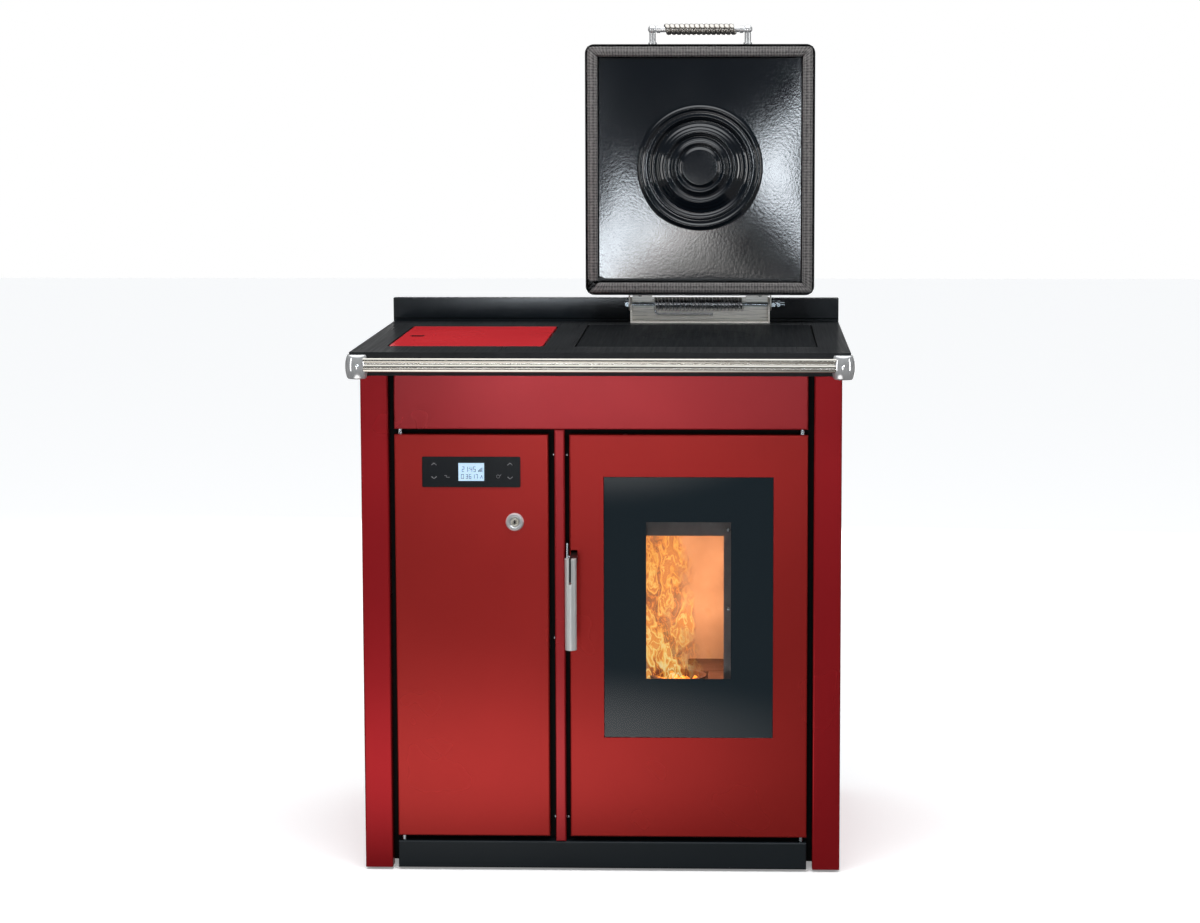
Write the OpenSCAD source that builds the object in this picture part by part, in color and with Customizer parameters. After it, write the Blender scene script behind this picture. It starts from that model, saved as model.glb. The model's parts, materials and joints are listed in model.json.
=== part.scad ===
// Pellet-fired range cooker with a cast iron hob under a sprung cover, a pellet hopper under a
// flush lid, a glazed fire door and a technical door with the controls.
// X runs to the right, Y to the rear and Z up. The origin is on the floor, under the middle.

/* [Cabinet] */
// Width over the two side panels
body_w = 780; // [740:5:840]
// Height of the worktop's upper face above the floor
worktop_top = 860; // [850:5:920]
// Distance from the worktop's front edge back to the faces of the panels and doors
body_setback = 35; // [28:1:45]
// Distance from the rear panel to the worktop's rear edge
rear_setback = 15; // [8:1:25]
// Thickness of the folded sheet
sheet = 2; // [1.5:0.25:2.5]
// Width of each side panel's front flange
flange_w = 45; // [38:1:55]
// Black gap between a door and what stands beside it
reveal = 9.5; // [8:0.5:12]
// Black gap above and below the doors
reveal_z = 8.6; // [8:0.2:11]
// Gap under the side panels and the plinth
floor_gap = 4; // [3:1:8]
// Height of the plinth
plinth_h = 45; // [40:1:60]
// Visible height of the red fascia above the doors
fascia_h = 90.5; // [80:0.5:110]
// Radius of the folded front edges
fold_r = 2.5; // [1:0.5:4]
// Middle of the stile between the doors, from the middle of the cooker
stile_x = -67.2; // [-80:0.2:-60]
// Width of that stile
stile_w = 17; // [14:1:24]

/* [Worktop] */
// Width of the worktop
worktop_w = 805; // [790:5:870]
// Depth of the worktop with its upstand
worktop_d = 615; // [600:5:650]
// Height of the worktop's turned-down edge
edge_h = 38; // [34:1:50]
// Thickness of the worktop plate
top_t = 6; // [5:0.5:8]
// Thickness of the worktop's turned-down edge
edge_t = 3; // [2:0.5:4]
// Height of the upstand at the rear
splash_h = 43; // [30:1:60]
// Depth of the upstand
splash_t = 18; // [14:1:24]

/* [Hob] */
// Width of the cast iron hob plate
hob_w = 392; // [370:2:400]
// Depth of the hob plate
hob_d = 426; // [390:2:428]
// Thickness of the hob plate
hob_t = 8; // [7:0.5:10]
// Middle of the hob plate, from the middle of the cooker
hob_x = 153; // [150:1:160]
// Distance from the worktop's front edge to the hob plate
hob_y = 104; // [98:1:106]
// Side slit beside the hob plate
hob_slit = 3; // [2:0.5:4]
// Radius of the loose ring in the hob plate
ring_r = 91; // [80:1:100]
// Radius of the small disc in the ring
disc_r = 41; // [32:1:50]

/* [Hob cover] */
// Width of the cover
cover_w = 408; // [396:2:416]
// Height of the cover when it stands open
cover_h = 445; // [430:1:450]
// Thickness of the cover
cover_t = 40; // [36:1:46]
// Radius of the cover's corners
cover_r = 16; // [8:1:24]
// Height of the hinge rod above the worktop
rod_h = 33; // [32:1:36]
// Distance from the worktop's rear edge to the hinge rod
rod_back = 40; // [38:1:46]
// Radius of the hinge rod
rod_r = 4; // [3:0.5:5]
// Width of the lower hinge bracket
hinge_w = 250; // [230:2:260]
// Distance between the posts of the cover's handle
post_gap = 169; // [150:1:190]
// Height of the handle's grip above the cover's edge
grip_up = 26; // [24:1:34]

/* [Springs] */
// Wire thickness of the hinge spring
spring_wire = 5; // [4:0.25:5.5]
// Middle radius of the hinge spring
spring_r = 10; // [9.5:0.25:11]
// Number of turns in the hinge spring
spring_turns = 24; // [16:1:26]
// Distance between the turns of the hinge spring
spring_pitch = 6.6; // [6:0.1:7]
// Wire thickness of the coil on the cover's grip
coil_wire = 4.4; // [3.5:0.1:5]
// Number of turns in that coil
coil_turns = 14; // [10:1:15]
// Distance between the turns of that coil
coil_pitch = 8.8; // [7:0.2:9.2]

/* [Doors] */
// Thickness of both doors
door_t = 22; // [20:1:26]
// Space between the doors and the black front frame
door_clear = 6; // [5:0.5:8]
// Distance from a door's outer edge to its hinge pin
pin_in = 9; // [8.5:0.5:10]
// Distance from a door's face to its hinge pin
pin_depth = 10; // [9.5:0.5:11]
// Radius of the hinge pins
pin_r = 3.5; // [3:0.25:4]
// Running clearance round pins and bolts
fit = 0.08; // [0.06:0.01:0.1]
// Gap between the stile and the fire door
latch_gap = 7.4; // [7:0.2:9]

/* [Fire door] */
// Width of the glass
glass_w = 275; // [250:1:285]
// Height of the glass
glass_h = 430; // [400:1:440]
// Distance from the top of the door down to the glass
glass_drop = 69; // [60:1:75]
// Thickness of the glass
glass_t = 4; // [3:0.5:5]
// Width of the clear window in the glass
window_w = 138; // [120:1:150]
// Height of the clear window
window_h = 259; // [240:1:270]
// Distance from the top of the glass down to the clear window
window_drop = 74; // [66:1:84]
// Length of the steel grip
grip_l = 149; // [130:1:160]
// Radius of the steel grip
grip_r = 9.5; // [9:0.25:11]
// Height of the handle's pivot above the floor
handle_z = 521; // [500:1:540]
// Distance from the door's face to the grip's axis
grip_out = 50; // [46:1:56]

/* [Technical door] */
// Width of the control panel
panel_w = 160; // [140:1:170]
// Height of the control panel
panel_h = 50; // [46:1:54]
// Distance from the top of the door down to the control panel
panel_drop = 36; // [30:1:50]
// Distance from the door's latch edge to the lock
lock_in = 55; // [50:1:70]
// Distance from the top of the door down to the lock
lock_drop = 143; // [130:1:160]
// Radius of the lock's visible ring
lock_r = 15; // [14:0.5:18]

/* [Hopper] */
// Width of the hopper lid
lid_w = 252; // [240:2:256]
// Depth of the hopper lid
lid_d = 378; // [350:2:390]
// Distance from the worktop's side edge to the hopper lid
lid_in = 51; // [50:1:56]
// Distance from the worktop's front edge to the hopper lid
lid_y = 110; // [100:1:116]
// Side slit beside the hopper lid
lid_slit = 3; // [2.5:0.5:4]
// Side of the square finger hole in the lid
finger = 23; // [20:1:28]

/* [Rail] */
// Height of the front rail's profile
rail_h = 22.5; // [20:0.5:24]
// Distance from the worktop's upper face down to the rail
rail_drop = 9; // [8:0.5:10]
// Reach of the corner castings in front of the worktop
rail_out = 14; // [12:1:16]
// Radius of the corner castings
corner_r = 20; // [18:0.5:22]
// Height of the corner castings
corner_h = 39; // [36:1:42]

/* [Fire side] */
// Width of the firebox
firebox_w = 195; // [185:1:205]
// Depth of the firebox
firebox_d = 293; // [260:1:310]
// Middle of the firebox, from the middle of the cooker
firebox_x = 142; // [138:1:146]
// Outer radius of the burn pot
pot_r = 48; // [42:1:52]
// Radius of the flue spigot
flue_r = 40; // [38:1:50]
// Reach of the flue spigot behind the worktop
rear_reach = 45; // [40:1:60]

/* [Hidden] */
$fn = 48;

// Depths, from the front to the rear
front_reach = max(rail_out, grip_out + grip_r - body_setback);
overall_d = front_reach + worktop_d + rear_reach;
top_front = -overall_d / 2 + front_reach;
top_back = top_front + worktop_d;
body_front = top_front + body_setback;
frame_y = body_front + door_t + door_clear;
body_back = top_back - rear_setback;
rear_y = body_back - sheet;

// Heights, from the floor up
tray_z = 12;
tray_lip = 28;
plinth_top = floor_gap + plinth_h;
door_z0 = plinth_top + reveal_z;
under_top = worktop_top - top_t;
fascia_z0 = worktop_top - edge_h - fascia_h;
door_z1 = fascia_z0 - reveal_z;

// Widths, from the left to the right
side_in = body_w / 2 - sheet;
door_x1 = body_w / 2 - flange_w - reveal;
door_x0 = -door_x1;
stile_l = stile_x - stile_w / 2;
stile_r = stile_x + stile_w / 2;
tech_x1 = stile_l - reveal;
fire_x0 = stile_r + latch_gap;

// Hinge pins of the doors
pin_x = door_x1 - pin_in;
pin_y = body_front + pin_depth;
pin_grip = 12;
tab_t = 3;
hinge_block = [12, door_t - 2 * sheet, 14];
seat = 0.1;

// The front frame's two openings
frame_edge = 22;
tech_open_x0 = -side_in + 60;
tech_open_x1 = tech_x1 - 10;
fire_open_x0 = fire_x0 + 26;
fire_open_x1 = door_x1 - 33;

// Fire door, from its face to the rear
glass_x = (fire_x0 + door_x1) / 2;
glass_z1 = door_z1 - glass_drop;
glass_z0 = glass_z1 - glass_h;
window_z1 = glass_z1 - window_drop;
window_z0 = window_z1 - window_h;
glass_sink = 1.5;
border_t = 1.5;
glass_play = 0.3;
border_y = body_front + glass_sink + glass_t;
casting_y = body_front + door_t;
casting_plate = 6;
casting_rim = 20;
seal_t = 8.7;
casting_x0 = fire_open_x0 + 16;
casting_x1 = fire_open_x1 - 10;
casting_z0 = door_z0 + 24;
casting_z1 = door_z1 - 55;
boiler_front = casting_y + casting_plate + casting_rim + seal_t + 0.3;

// Handle of the fire door
grip_x = fire_x0 + 4.6;
grip_y = body_front - grip_out;
lever_w = 9.6;
lever_h = 16;
lever_x = grip_x - 2.2;
lever_z1 = handle_z + lever_h / 2 + 0.5;
grip_top = lever_z1 - 1.2;
handle_y = body_front + 6.5;
lever_lift = 25;
lever_play = 0.5;
slot_z1 = handle_z + (lever_z1 - handle_z) / cos(lever_lift)
    + (handle_y - body_front) * tan(lever_lift) + lever_play;
tongue_t = 3;
tongue_h = 24.3;
tongue_play = 2.5;
pivot_r = 3;

// Rail and its corner castings
rail_z1 = worktop_top - rail_drop;
rail_reach = rail_out - 3.5;
corner_z0 = worktop_top - 4 - corner_h;
corner_x = worktop_w / 2 + 6.5 - corner_r;
corner_y = top_front - rail_out + corner_r;
sleeve = 18;
socket = 12;
rail_x1 = corner_x - sleeve + socket;

// Hob, rings and cover
hob_x0 = hob_x - hob_w / 2;
hob_y0 = top_front + hob_y;
hob_cx = hob_x - 3;
hob_cy = hob_y0 + hob_d / 2 + 8;
ledge_in = 10;
ledge_t = 4;
ring_play = 0.5;
ring_step = 5;
rod_y = top_back - rod_back;
rod_z = worktop_top + rod_h;
cover_seat = 0.5;
cover_face = rod_y - rod_h + cover_seat;
cover_back = cover_face + cover_t;
cover_z0 = rod_z + 19;
cover_z1 = cover_z0 + cover_h;
cover_x0 = hob_x - cover_w / 2;
cover_rim = 7;
cover_sheet = 1.5;
seal_w = 17.5;
liner_sink = 3;
liner_in = cover_rim + seal_w;
liner_z = (cover_z0 + cover_z1) / 2 + 5;
ear_t = 2.5;
ear_gap = 0.5;
ear_r = 12;
grip_z = cover_z1 + grip_up;
grip_mid = (cover_face + cover_back) / 2;
coil_r = 8;
coil_start = 12;

// Hopper, lid and auger
lid_x0 = -worktop_w / 2 + lid_in;
lid_x1 = lid_x0 + lid_w;
lid_y0 = top_front + lid_y;
lid_t = 3;
lid_fold = 15;
lid_gap = 1;
lid_pin_r = 2;
lid_pin_in = 4;
lid_axis_z = worktop_top - lid_t;
bin_lip = 12;
bin_in = 14;
bin_hinge_in = 22;
bin_z1 = under_top - bin_lip;
bin_z0 = bin_z1 - 210;
spout = 25;
spout_x = lid_x0 + 118;
auger_a = 30;
auger_r = 30;
auger_wall = 2.5;
auger_x0 = spout_x - 52;
auger_z0 = 372;
spout_z = auger_z0 + (spout_x - auger_x0) * tan(auger_a);
part_x = stile_r + 3;
chute_r = 24;
drop_box = 29;
chute_x = part_x - drop_box - 7;
auger_l = (chute_x - drop_box - auger_x0) / cos(auger_a);
chute_a = 32;
chute_z = auger_z0 + (chute_x - auger_x0) * tan(auger_a);

// Boiler and firebox
boiler_wall = 4;
boiler_x0 = part_x + 12;
boiler_x1 = side_in - 45;
boiler_z0 = 60;
boiler_z1 = worktop_top - hob_t - ledge_t;
boiler_back = body_back - 50;
box_x0 = firebox_x - firebox_w / 2;
box_x1 = firebox_x + firebox_w / 2;
box_back = boiler_front + firebox_d;
box_wall = 5;
lining_t = 12;
chute_l = (box_x0 + box_wall + lining_t - 5 - chute_x) / cos(chute_a);
chute_cut = 2 * (chute_l + chute_r + 2);
hearth_z = 225;
mouth_z1 = window_z1 + 22;
pot_x = box_x0 + box_wall + lining_t + pot_r + 12;
pot_y = boiler_front + firebox_d * 0.42;
pot_h = 62;
auger_y = pot_y;

// Smoke fan and connections
fan_x = -210;
fan_z = 178;
fan_r = 72;
fan_y0 = body_back - 118;
fan_w = 52;
pipe_r = 11;
stub_r = 16;
flow_xz = [[-20, 640], [60, 640], [-20, 250], [60, 250]];
air_x = 240;
air_z = 150;
air_r = 30;
inlet_x = 320;
inlet_z = 110;
air_reach = 25;
pump_r = 38;
vessel_r = 105;
stub_reach = 20;
neck_in = 1;
collar_out = 5;
spigot_y0 = body_back + 4.5;

// ---------- Shared shapes ----------

// Points along a quarter circle or any arc, from angle a0 to angle a1.
function arc(cx, cy, r, a0, a1, n = 5) =
    [for (i = [0:n]) [cx + r * cos(a0 + (a1 - a0) * i / n), cy + r * sin(a0 + (a1 - a0) * i / n)]];

// Outline of a rectangle from the origin with one radius at its corners.
function round_rect(w, h, r, n = 5) = concat(
    arc(w - r, h - r, r, 0, 90, n), arc(r, h - r, r, 90, 180, n),
    arc(r, r, r, 180, 270, n), arc(w - r, r, r, 270, 360, n));

// A box between two opposite corners.
module block(lo, hi) {
    translate(lo) cube(hi - lo);
}

// An upright plate, facing front, with rounded corners.
module upright(lo, hi, r, n = 5) {
    s = hi - lo;
    translate([lo.x, hi.y, lo.z]) rotate([90, 0, 0]) linear_extrude(s.y)
        polygon(round_rect(s.x, s.z, r, n));
}

// A level plate with rounded corners.
module level(lo, hi, r, n = 5) {
    s = hi - lo;
    translate(lo) linear_extrude(s.z) polygon(round_rect(s.x, s.y, r, n));
}

// A box whose four front edges are folded round a radius.
module soft_box(lo, hi, r) {
    s = hi - lo;
    plan = concat(arc(r, r, r, 180, 270, 4), arc(s.x - r, r, r, 270, 360, 4), [[s.x, s.y], [0, s.y]]);
    side = concat(arc(r, r, r, 270, 180, 4), arc(r, s.z - r, r, 180, 90, 4), [[s.y, s.z], [s.y, 0]]);
    intersection() {
        translate(lo) linear_extrude(s.z) polygon(plan);
        translate(lo) rotate([90, 0, 90]) linear_extrude(s.x) polygon(side);
    }
}

// A folded sheet pan, open to the rear.
module pan(lo, hi, t = sheet, r = fold_r) {
    difference() {
        soft_box(lo, hi, r);
        soft_box(lo + [t, t, t], hi + [-t, 1, -t], max(r - t, 0.3));
    }
}

// A round bar along Y, from y0 to y1.
module bar_y(x, z, r, y0, y1) {
    translate([x, y0, z]) rotate([-90, 0, 0]) cylinder(r = r, h = y1 - y0);
}

// A round bar along X, from x0 to x1.
module bar_x(y, z, r, x0, x1) {
    translate([x0, y, z]) rotate([0, 90, 0]) cylinder(r = r, h = x1 - x0);
}

// A round bar along Z, from z0 to z1.
module bar_z(x, y, r, z0, z1) {
    translate([x, y, z0]) cylinder(r = r, h = z1 - z0);
}

// A hexagonal nut or bolt head along X, from x0 to x1.
module hex_x(y, z, r, x0, x1) {
    translate([x0, y, z]) rotate([0, 90, 0]) cylinder(r = r, h = x1 - x0, $fn = 6);
}

function unit(v) = v / norm(v);

// Rings of points round a path for a round wire; each ring turns as little as it can.
function wire_rings(path, r, sides) =
    let (n = len(path),
         t = [for (i = [0:n - 1]) unit(path[min(i + 1, n - 1)] - path[max(i - 1, 0)])],
         u0 = unit(cross(t[0], abs(t[0].z) < 0.9 ? [0, 0, 1] : [0, 1, 0])),
         u = [for (i = 0, w = u0; i < n; i = i + 1, w = i < n ? unit(w - (w * t[i]) * t[i]) : w) w])
    [for (i = [0:n - 1]) for (k = [0:sides - 1])
        path[i] + r * (cos(360 * k / sides) * u[i] + sin(360 * k / sides) * cross(t[i], u[i]))];

// Triangles of a tube with n rings.
function wire_faces(n, sides) = concat(
    [for (k = [1:sides - 2]) [0, k + 1, k]],
    [for (k = [1:sides - 2]) [(n - 1) * sides, (n - 1) * sides + k, (n - 1) * sides + k + 1]],
    [for (i = [0:n - 2]) for (k = [0:sides - 1]) let (m = (k + 1) % sides)
        [i * sides + k, i * sides + m, (i + 1) * sides + m]],
    [for (i = [0:n - 2]) for (k = [0:sides - 1]) let (m = (k + 1) % sides)
        [i * sides + k, (i + 1) * sides + m, (i + 1) * sides + k]]);

// A coil along X: its middle line, with per points in each turn, first at the rear and rising.
function coil_path(x0, y, z, r, pitch, turns, per = 8) =
    [for (i = [0:turns * per]) [x0 + pitch * i / per, y + r * cos(360 * i / per),
        z + r * sin(360 * i / per)]];

// Least distance between the surface of a wire and its own other turns.
function wire_gap(path, wire, skip = 4) = min([
    for (i = [0:len(path) - 1 - skip]) for (j = [i + skip:len(path) - 1])
        norm(path[i] - path[j])]) - wire;

// ---------- Cabinet ----------

// Chassis floor: a folded tray on the feet.
module base_tray() color("dimgray") {
    lo = [-side_in, frame_y + sheet, tray_z];
    hi = [side_in, rear_y, tray_z + tray_lip];
    difference() {
        block(lo, hi);
        block(lo + [sheet, sheet, sheet], hi + [-sheet, -sheet, 1]);
        feet_places() bar_z(0, 0, 6.2, 0, tray_z + 10);
    }
}

module feet_places() {
    for (x = [-side_in + 45, side_in - 45], y = [frame_y + 60, rear_y - 45])
        translate([x, y, 0]) children();
}

// Four screwed feet, each with its lock nut under the tray.
module levelling_feet() color("black") {
    feet_places() {
        union() {
            cylinder(r1 = 22, r2 = 20, h = 4);
            translate([0, 0, 4]) cylinder(r = 11, h = tray_z - 4, $fn = 6);
            bar_z(0, 0, 6, tray_z - 1, tray_z + 26);
        }
    }
}

module plinth() color("darkslategray") {
    difference() {
        pan([door_x0, body_front, floor_gap], [door_x1, frame_y, plinth_top]);
        for (s = [-1, 1]) bar_z(s * pin_x, pin_y, pin_r + 1.5, plinth_top - 10, plinth_top + 1);
    }
}

// One side panel: front flange, its inner lip, the wall and the rear flange, folded from one sheet.
module side_panel(hand) {
    w = body_w / 2;
    lip = frame_y - body_front;
    outline = concat(
        arc(w - fold_r, body_front + fold_r, fold_r, 0, -90, 4),
        arc(w - flange_w + fold_r, body_front + fold_r, fold_r, -90, -180, 4),
        [[w - flange_w, body_front + lip], [w - flange_w + sheet, body_front + lip],
         [w - flange_w + sheet, body_front + sheet], [w - sheet, body_front + sheet],
         [w - sheet, body_back - sheet], [w - 24, body_back - sheet], [w - 24, body_back],
         [w, body_back]]);
    translate([0, 0, floor_gap]) linear_extrude(under_top - floor_gap)
        polygon([for (p = outline) [hand * p.x, p.y]]);
}

module left_side_panel() color("firebrick") side_panel(-1);

module right_side_panel() color("firebrick") side_panel(1);

module front_fascia() color("firebrick") {
    difference() {
        pan([door_x0, body_front, fascia_z0], [door_x1, frame_y, under_top]);
        for (s = [-1, 1]) bar_z(s * pin_x, pin_y, pin_r + 1.5, fascia_z0 - 1, fascia_z0 + 10);
    }
}

module centre_stile() color("firebrick")
    pan([stile_l, body_front, plinth_top], [stile_r, frame_y, fascia_z0]);

// Black frame behind the doors, with the service opening and the boiler's opening.
module front_frame() color([0.05, 0.05, 0.06]) {
    difference() {
        block([-side_in, frame_y, tray_z], [side_in, frame_y + sheet, under_top]);
        upright([tech_open_x0, frame_y - 1, door_z0 + frame_edge],
            [tech_open_x1, frame_y + sheet + 1, door_z1 - frame_edge], 12);
        upright([fire_open_x0, frame_y - 1, door_z0 + 10],
            [fire_open_x1, frame_y + sheet + 1, door_z1 - frame_edge], 12);
    }
}

module rear_panel() color("dimgray") {
    difference() {
        block([-body_w / 2 + 24, rear_y, tray_z + 20], [body_w / 2 - 24, body_back, under_top]);
        bar_y(fan_x, fan_z, flue_r, rear_y - 1, body_back + 1);
        bar_y(air_x, air_z, air_r, rear_y - 1, body_back + 1);
        for (p = flow_xz) bar_y(p[0], p[1], stub_r, rear_y - 1, body_back + 1);
        block([inlet_x - 15.5, rear_y - 1, inlet_z - 24.5], [inlet_x + 15.5, body_back + 1, inlet_z + 24.5]);
        for (i = [0:7], x = [-150, 150])
            upright([x - 60, rear_y - 1, 700 + 14 * i], [x + 60, body_back + 1, 704 + 14 * i], 1.9, 3);
    }
}

// Steel wall between the technical compartment and the boiler.
module partition_wall() color("dimgray") {
    difference() {
        block([part_x - sheet, frame_y + sheet, tray_z + tray_lip], [part_x, rear_y, under_top]);
        chute_axis() cylinder(r = chute_r + 1, h = chute_cut, center = true);
        smoke_duct(1);
    }
}

// Brackets on the front frame, each with the pin that a door turns on.
module door_hinge_pins() color("silver") {
    for (s = [-1, 1]) {
        hinge_pin(s, fascia_z0 + sheet + 0.5, -1);
        hinge_pin(s, plinth_top - sheet - 0.5 - tab_t, 1);
    }
}

module hinge_pin(side, z, up) {
    pin_end = up > 0 ? door_z0 + pin_grip : door_z1 - pin_grip;
    union() {
        block([side * pin_x - 6.5, pin_y - 7.5, z], [side * pin_x + 6.5, frame_y, z + tab_t]);
        bar_z(side * pin_x, pin_y, pin_r, min(z, pin_end), max(z + tab_t, pin_end));
    }
}

// ---------- Worktop, upstand and rail ----------

module hob_opening(grow, z0, z1) {
    block([hob_x0 - hob_slit - grow, hob_y0 - 1 - grow, z0],
        [hob_x0 + hob_w + hob_slit + grow, hob_y0 + hob_d + 1 + grow, z1]);
}

module worktop() color([0.10, 0.10, 0.11]) {
    x1 = worktop_w / 2;
    difference() {
        union() {
            difference() {
                block([-x1, top_front, worktop_top - edge_h], [x1, top_back, worktop_top]);
                block([-x1 + edge_t, top_front + edge_t, worktop_top - edge_h - 1],
                    [x1 - edge_t, top_back + 1, under_top]);
            }
            hob_opening(4, worktop_top - hob_t - ledge_t, under_top);
        }
        hob_opening(0, worktop_top - hob_t, worktop_top + 1);
        hob_opening(-ledge_in, worktop_top - hob_t - ledge_t - 1, worktop_top);
        block([lid_x0 - lid_slit, lid_y0 - lid_gap, under_top - 1],
            [lid_x1 + lid_slit, lid_y0 + lid_d + lid_gap, worktop_top + 1]);
        bar_y(lid_x1 - lid_pin_in, lid_axis_z, lid_pin_r + fit, lid_y0 - 5, lid_y0 + lid_d + 5);
    }
}

// Folded upstand with a shadow groove along its foot.
module upstand() color([0.10, 0.11, 0.12]) {
    foot = 6;
    lo = [-worktop_w / 2, top_back - splash_t, worktop_top];
    hi = [worktop_w / 2, top_back, worktop_top + splash_h];
    difference() {
        block(lo, hi);
        block(lo + [sheet, sheet, -1], [hi.x - sheet, hi.y + 1, hi.z - sheet]);
        block(lo - [1, 1, 1], [hi.x + 1, lo.y + 1.4, lo.z + foot]);
    }
}

// Polished rail: a narrow bead over a wide one, with a groove between them.
module front_rail() color("gainsboro") {
    wide = rail_h * 0.57;
    narrow = rail_h * 0.35;
    outline = concat(
        [[0, 0]], [for (i = [0:10]) [-rail_reach + 3 - 3 * sin(18 * i), wide * i / 10]],
        [[-rail_reach + 5, wide], [-rail_reach + 5, rail_h - narrow]],
        [for (i = [0:8]) [-rail_reach + 3.4 - 2.4 * sin(22.5 * i), rail_h - narrow + narrow * i / 8]],
        [[0, rail_h]]);
    translate([-rail_x1, top_front, rail_z1 - rail_h]) rotate([90, 0, 90])
        linear_extrude(2 * rail_x1) polygon(outline);
}

// Barrel-shaped chrome casting round a front corner, with a sleeve that the rail ends in.
module rail_corner() {
    profile = concat([[0, 0]], [for (i = [0:12]) let (s = abs(i / 6 - 1))
        [corner_r - 3.6 * pow(s, 2.2), corner_h * i / 12]], [[0, corner_h]]);
    play = 0.15;
    difference() {
        union() {
            translate([corner_x, corner_y, corner_z0]) rotate([0, 0, -90])
                rotate_extrude(angle = 180, $fn = 64) polygon(profile);
            translate([corner_x - sleeve, corner_y, corner_z0]) rotate([90, 0, 90])
                linear_extrude(sleeve + 0.01) polygon([for (p = profile) [-p.x, p.y]]);
        }
        block([0, top_front, corner_z0 - 1], [worktop_w / 2, top_front + 60, worktop_top + 1]);
        block([0, top_front - rail_reach - play, rail_z1 - rail_h - play],
            [rail_x1 + play, top_front + 1, rail_z1 + play]);
    }
}

module left_rail_corner() color("silver") mirror([1, 0, 0]) rail_corner();

module right_rail_corner() color("silver") rail_corner();

// ---------- Hob ----------

// Cast plate with a stepped hole for the ring and ribs underneath.
module hob_plate() color([0.12, 0.12, 0.13]) {
    z1 = worktop_top;
    z0 = z1 - hob_t;
    rib = ledge_t - 0.5;
    difference() {
        union() {
            level([hob_x0, hob_y0, z0], [hob_x0 + hob_w, hob_y0 + hob_d, z1], 3);
            for (a = [45:90:315]) translate([hob_cx, hob_cy, z0 - rib]) rotate([0, 0, a])
                translate([ring_r + 4, -3, 0]) cube([50, 6, rib + 0.5]);
        }
        bar_z(hob_cx, hob_cy, ring_r + ring_play, z0 + hob_t / 2, z1 + 1);
        bar_z(hob_cx, hob_cy, ring_r - ring_step + ring_play, z0 - 8, z1);
    }
}

// A loose cast piece that hangs in the step of the piece round it.
module stepped_disc(r) {
    z1 = worktop_top;
    bar_z(hob_cx, hob_cy, r, z1 - hob_t / 2, z1);
    bar_z(hob_cx, hob_cy, r - ring_step, z1 - hob_t, z1 - hob_t / 2 + 0.5);
}

module hob_ring() color([0.12, 0.12, 0.13]) {
    z1 = worktop_top;
    difference() {
        stepped_disc(ring_r);
        bar_z(hob_cx, hob_cy, disc_r + ring_play, z1 - hob_t / 2, z1 + 1);
        bar_z(hob_cx, hob_cy, disc_r - ring_step + ring_play, z1 - hob_t - 1, z1);
    }
}

module hob_disc() color([0.12, 0.12, 0.13]) {
    difference() {
        stepped_disc(disc_r);
        translate([hob_cx, hob_cy - disc_r + 6, worktop_top - 3]) level([-7, -3.5, 0], [7, 3.5, 4], 3);
    }
}

// ---------- Hopper ----------

// Flush lid with folded edges, a finger cup and its two hinge pins.
module hopper_lid() color("firebrick") {
    z0 = worktop_top - lid_t;
    lo = [lid_x0, lid_y0, worktop_top - lid_fold];
    hi = [lid_x1, lid_y0 + lid_d, worktop_top];
    f = [lid_x0 + 14, lid_y0 + (lid_d - finger) / 2, worktop_top - 13];
    union() {
        difference() {
            union() {
                difference() {
                    block(lo, hi);
                    block(lo + [sheet, sheet, -1], [hi.x - sheet, hi.y - sheet, z0]);
                }
                block(f - [1.5, 1.5, 1.5], [f.x + finger + 1.5, f.y + finger + 1.5, z0 + 0.1]);
            }
            level(f, [f.x + finger, f.y + finger, worktop_top + 1], 3);
        }
        for (y = [lo.y - 4, hi.y - 6]) bar_y(hi.x - lid_pin_in, lid_axis_z, lid_pin_r, y, y + 10);
    }
}

// Soft strip under the lid that closes on the hopper's rim.
module hopper_lid_seal() color([0.08, 0.08, 0.08]) {
    seal = 7;
    lo = [lid_x0 + sheet + 1, lid_y0 + sheet + 1, bin_z1 + 0.4];
    hi = [lid_x1 - sheet - 6, lid_y0 + lid_d - sheet - 1, worktop_top - lid_t];
    difference() {
        block(lo, hi);
        block(lo + [seal, seal, -1], hi + [-seal, -seal, 1]);
    }
}

// The hopper's walls: straight above, drawn in to the spout below.
module bin_body(in) {
    x0 = lid_x0 + bin_in + in;
    x1 = lid_x1 - bin_hinge_in - in;
    y0 = lid_y0 + bin_in + in;
    y1 = lid_y0 + lid_d - bin_in - in;
    block([x0, y0, bin_z0], [x1, y1, bin_z1 - sheet + 0.1]);
    hull() {
        block([x0, y0, bin_z0 - 0.1], [x1, y1, bin_z0]);
        block([spout_x - spout + in, auger_y - spout + in, spout_z + 70],
            [spout_x + spout - in, auger_y + spout - in, spout_z + 71]);
    }
    block([spout_x - spout + in, auger_y - spout + in, spout_z - (in > 0 ? 20 : 0)],
        [spout_x + spout - in, auger_y + spout - in, spout_z + 70.5]);
}

module pellet_hopper() color("lightgray") {
    x0 = lid_x0 - 12;
    x1 = lid_x1 + 12;
    y0 = lid_y0 - 10;
    y1 = lid_y0 + lid_d + 10;
    difference() {
        union() {
            bin_body(0);
            difference() {
                block([x0, y0, bin_z1 - sheet], [x1, y1, under_top]);
                block([x0 + sheet, y0 + sheet, bin_z1], [x1 - sheet, y1 - sheet, under_top + 1]);
            }
        }
        bin_body(sheet);
        block([lid_x0 + bin_in + sheet, lid_y0 + bin_in + sheet, bin_z1 - sheet - 1],
            [lid_x1 - bin_hinge_in - sheet, lid_y0 + lid_d - bin_in - sheet, bin_z1 + 1]);
        auger_axis() cylinder(r = auger_r + 0.3, h = auger_l);
    }
}

module auger_axis() {
    translate([auger_x0, auger_y, auger_z0]) rotate([0, 90 - auger_a, 0]) children();
}

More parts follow.
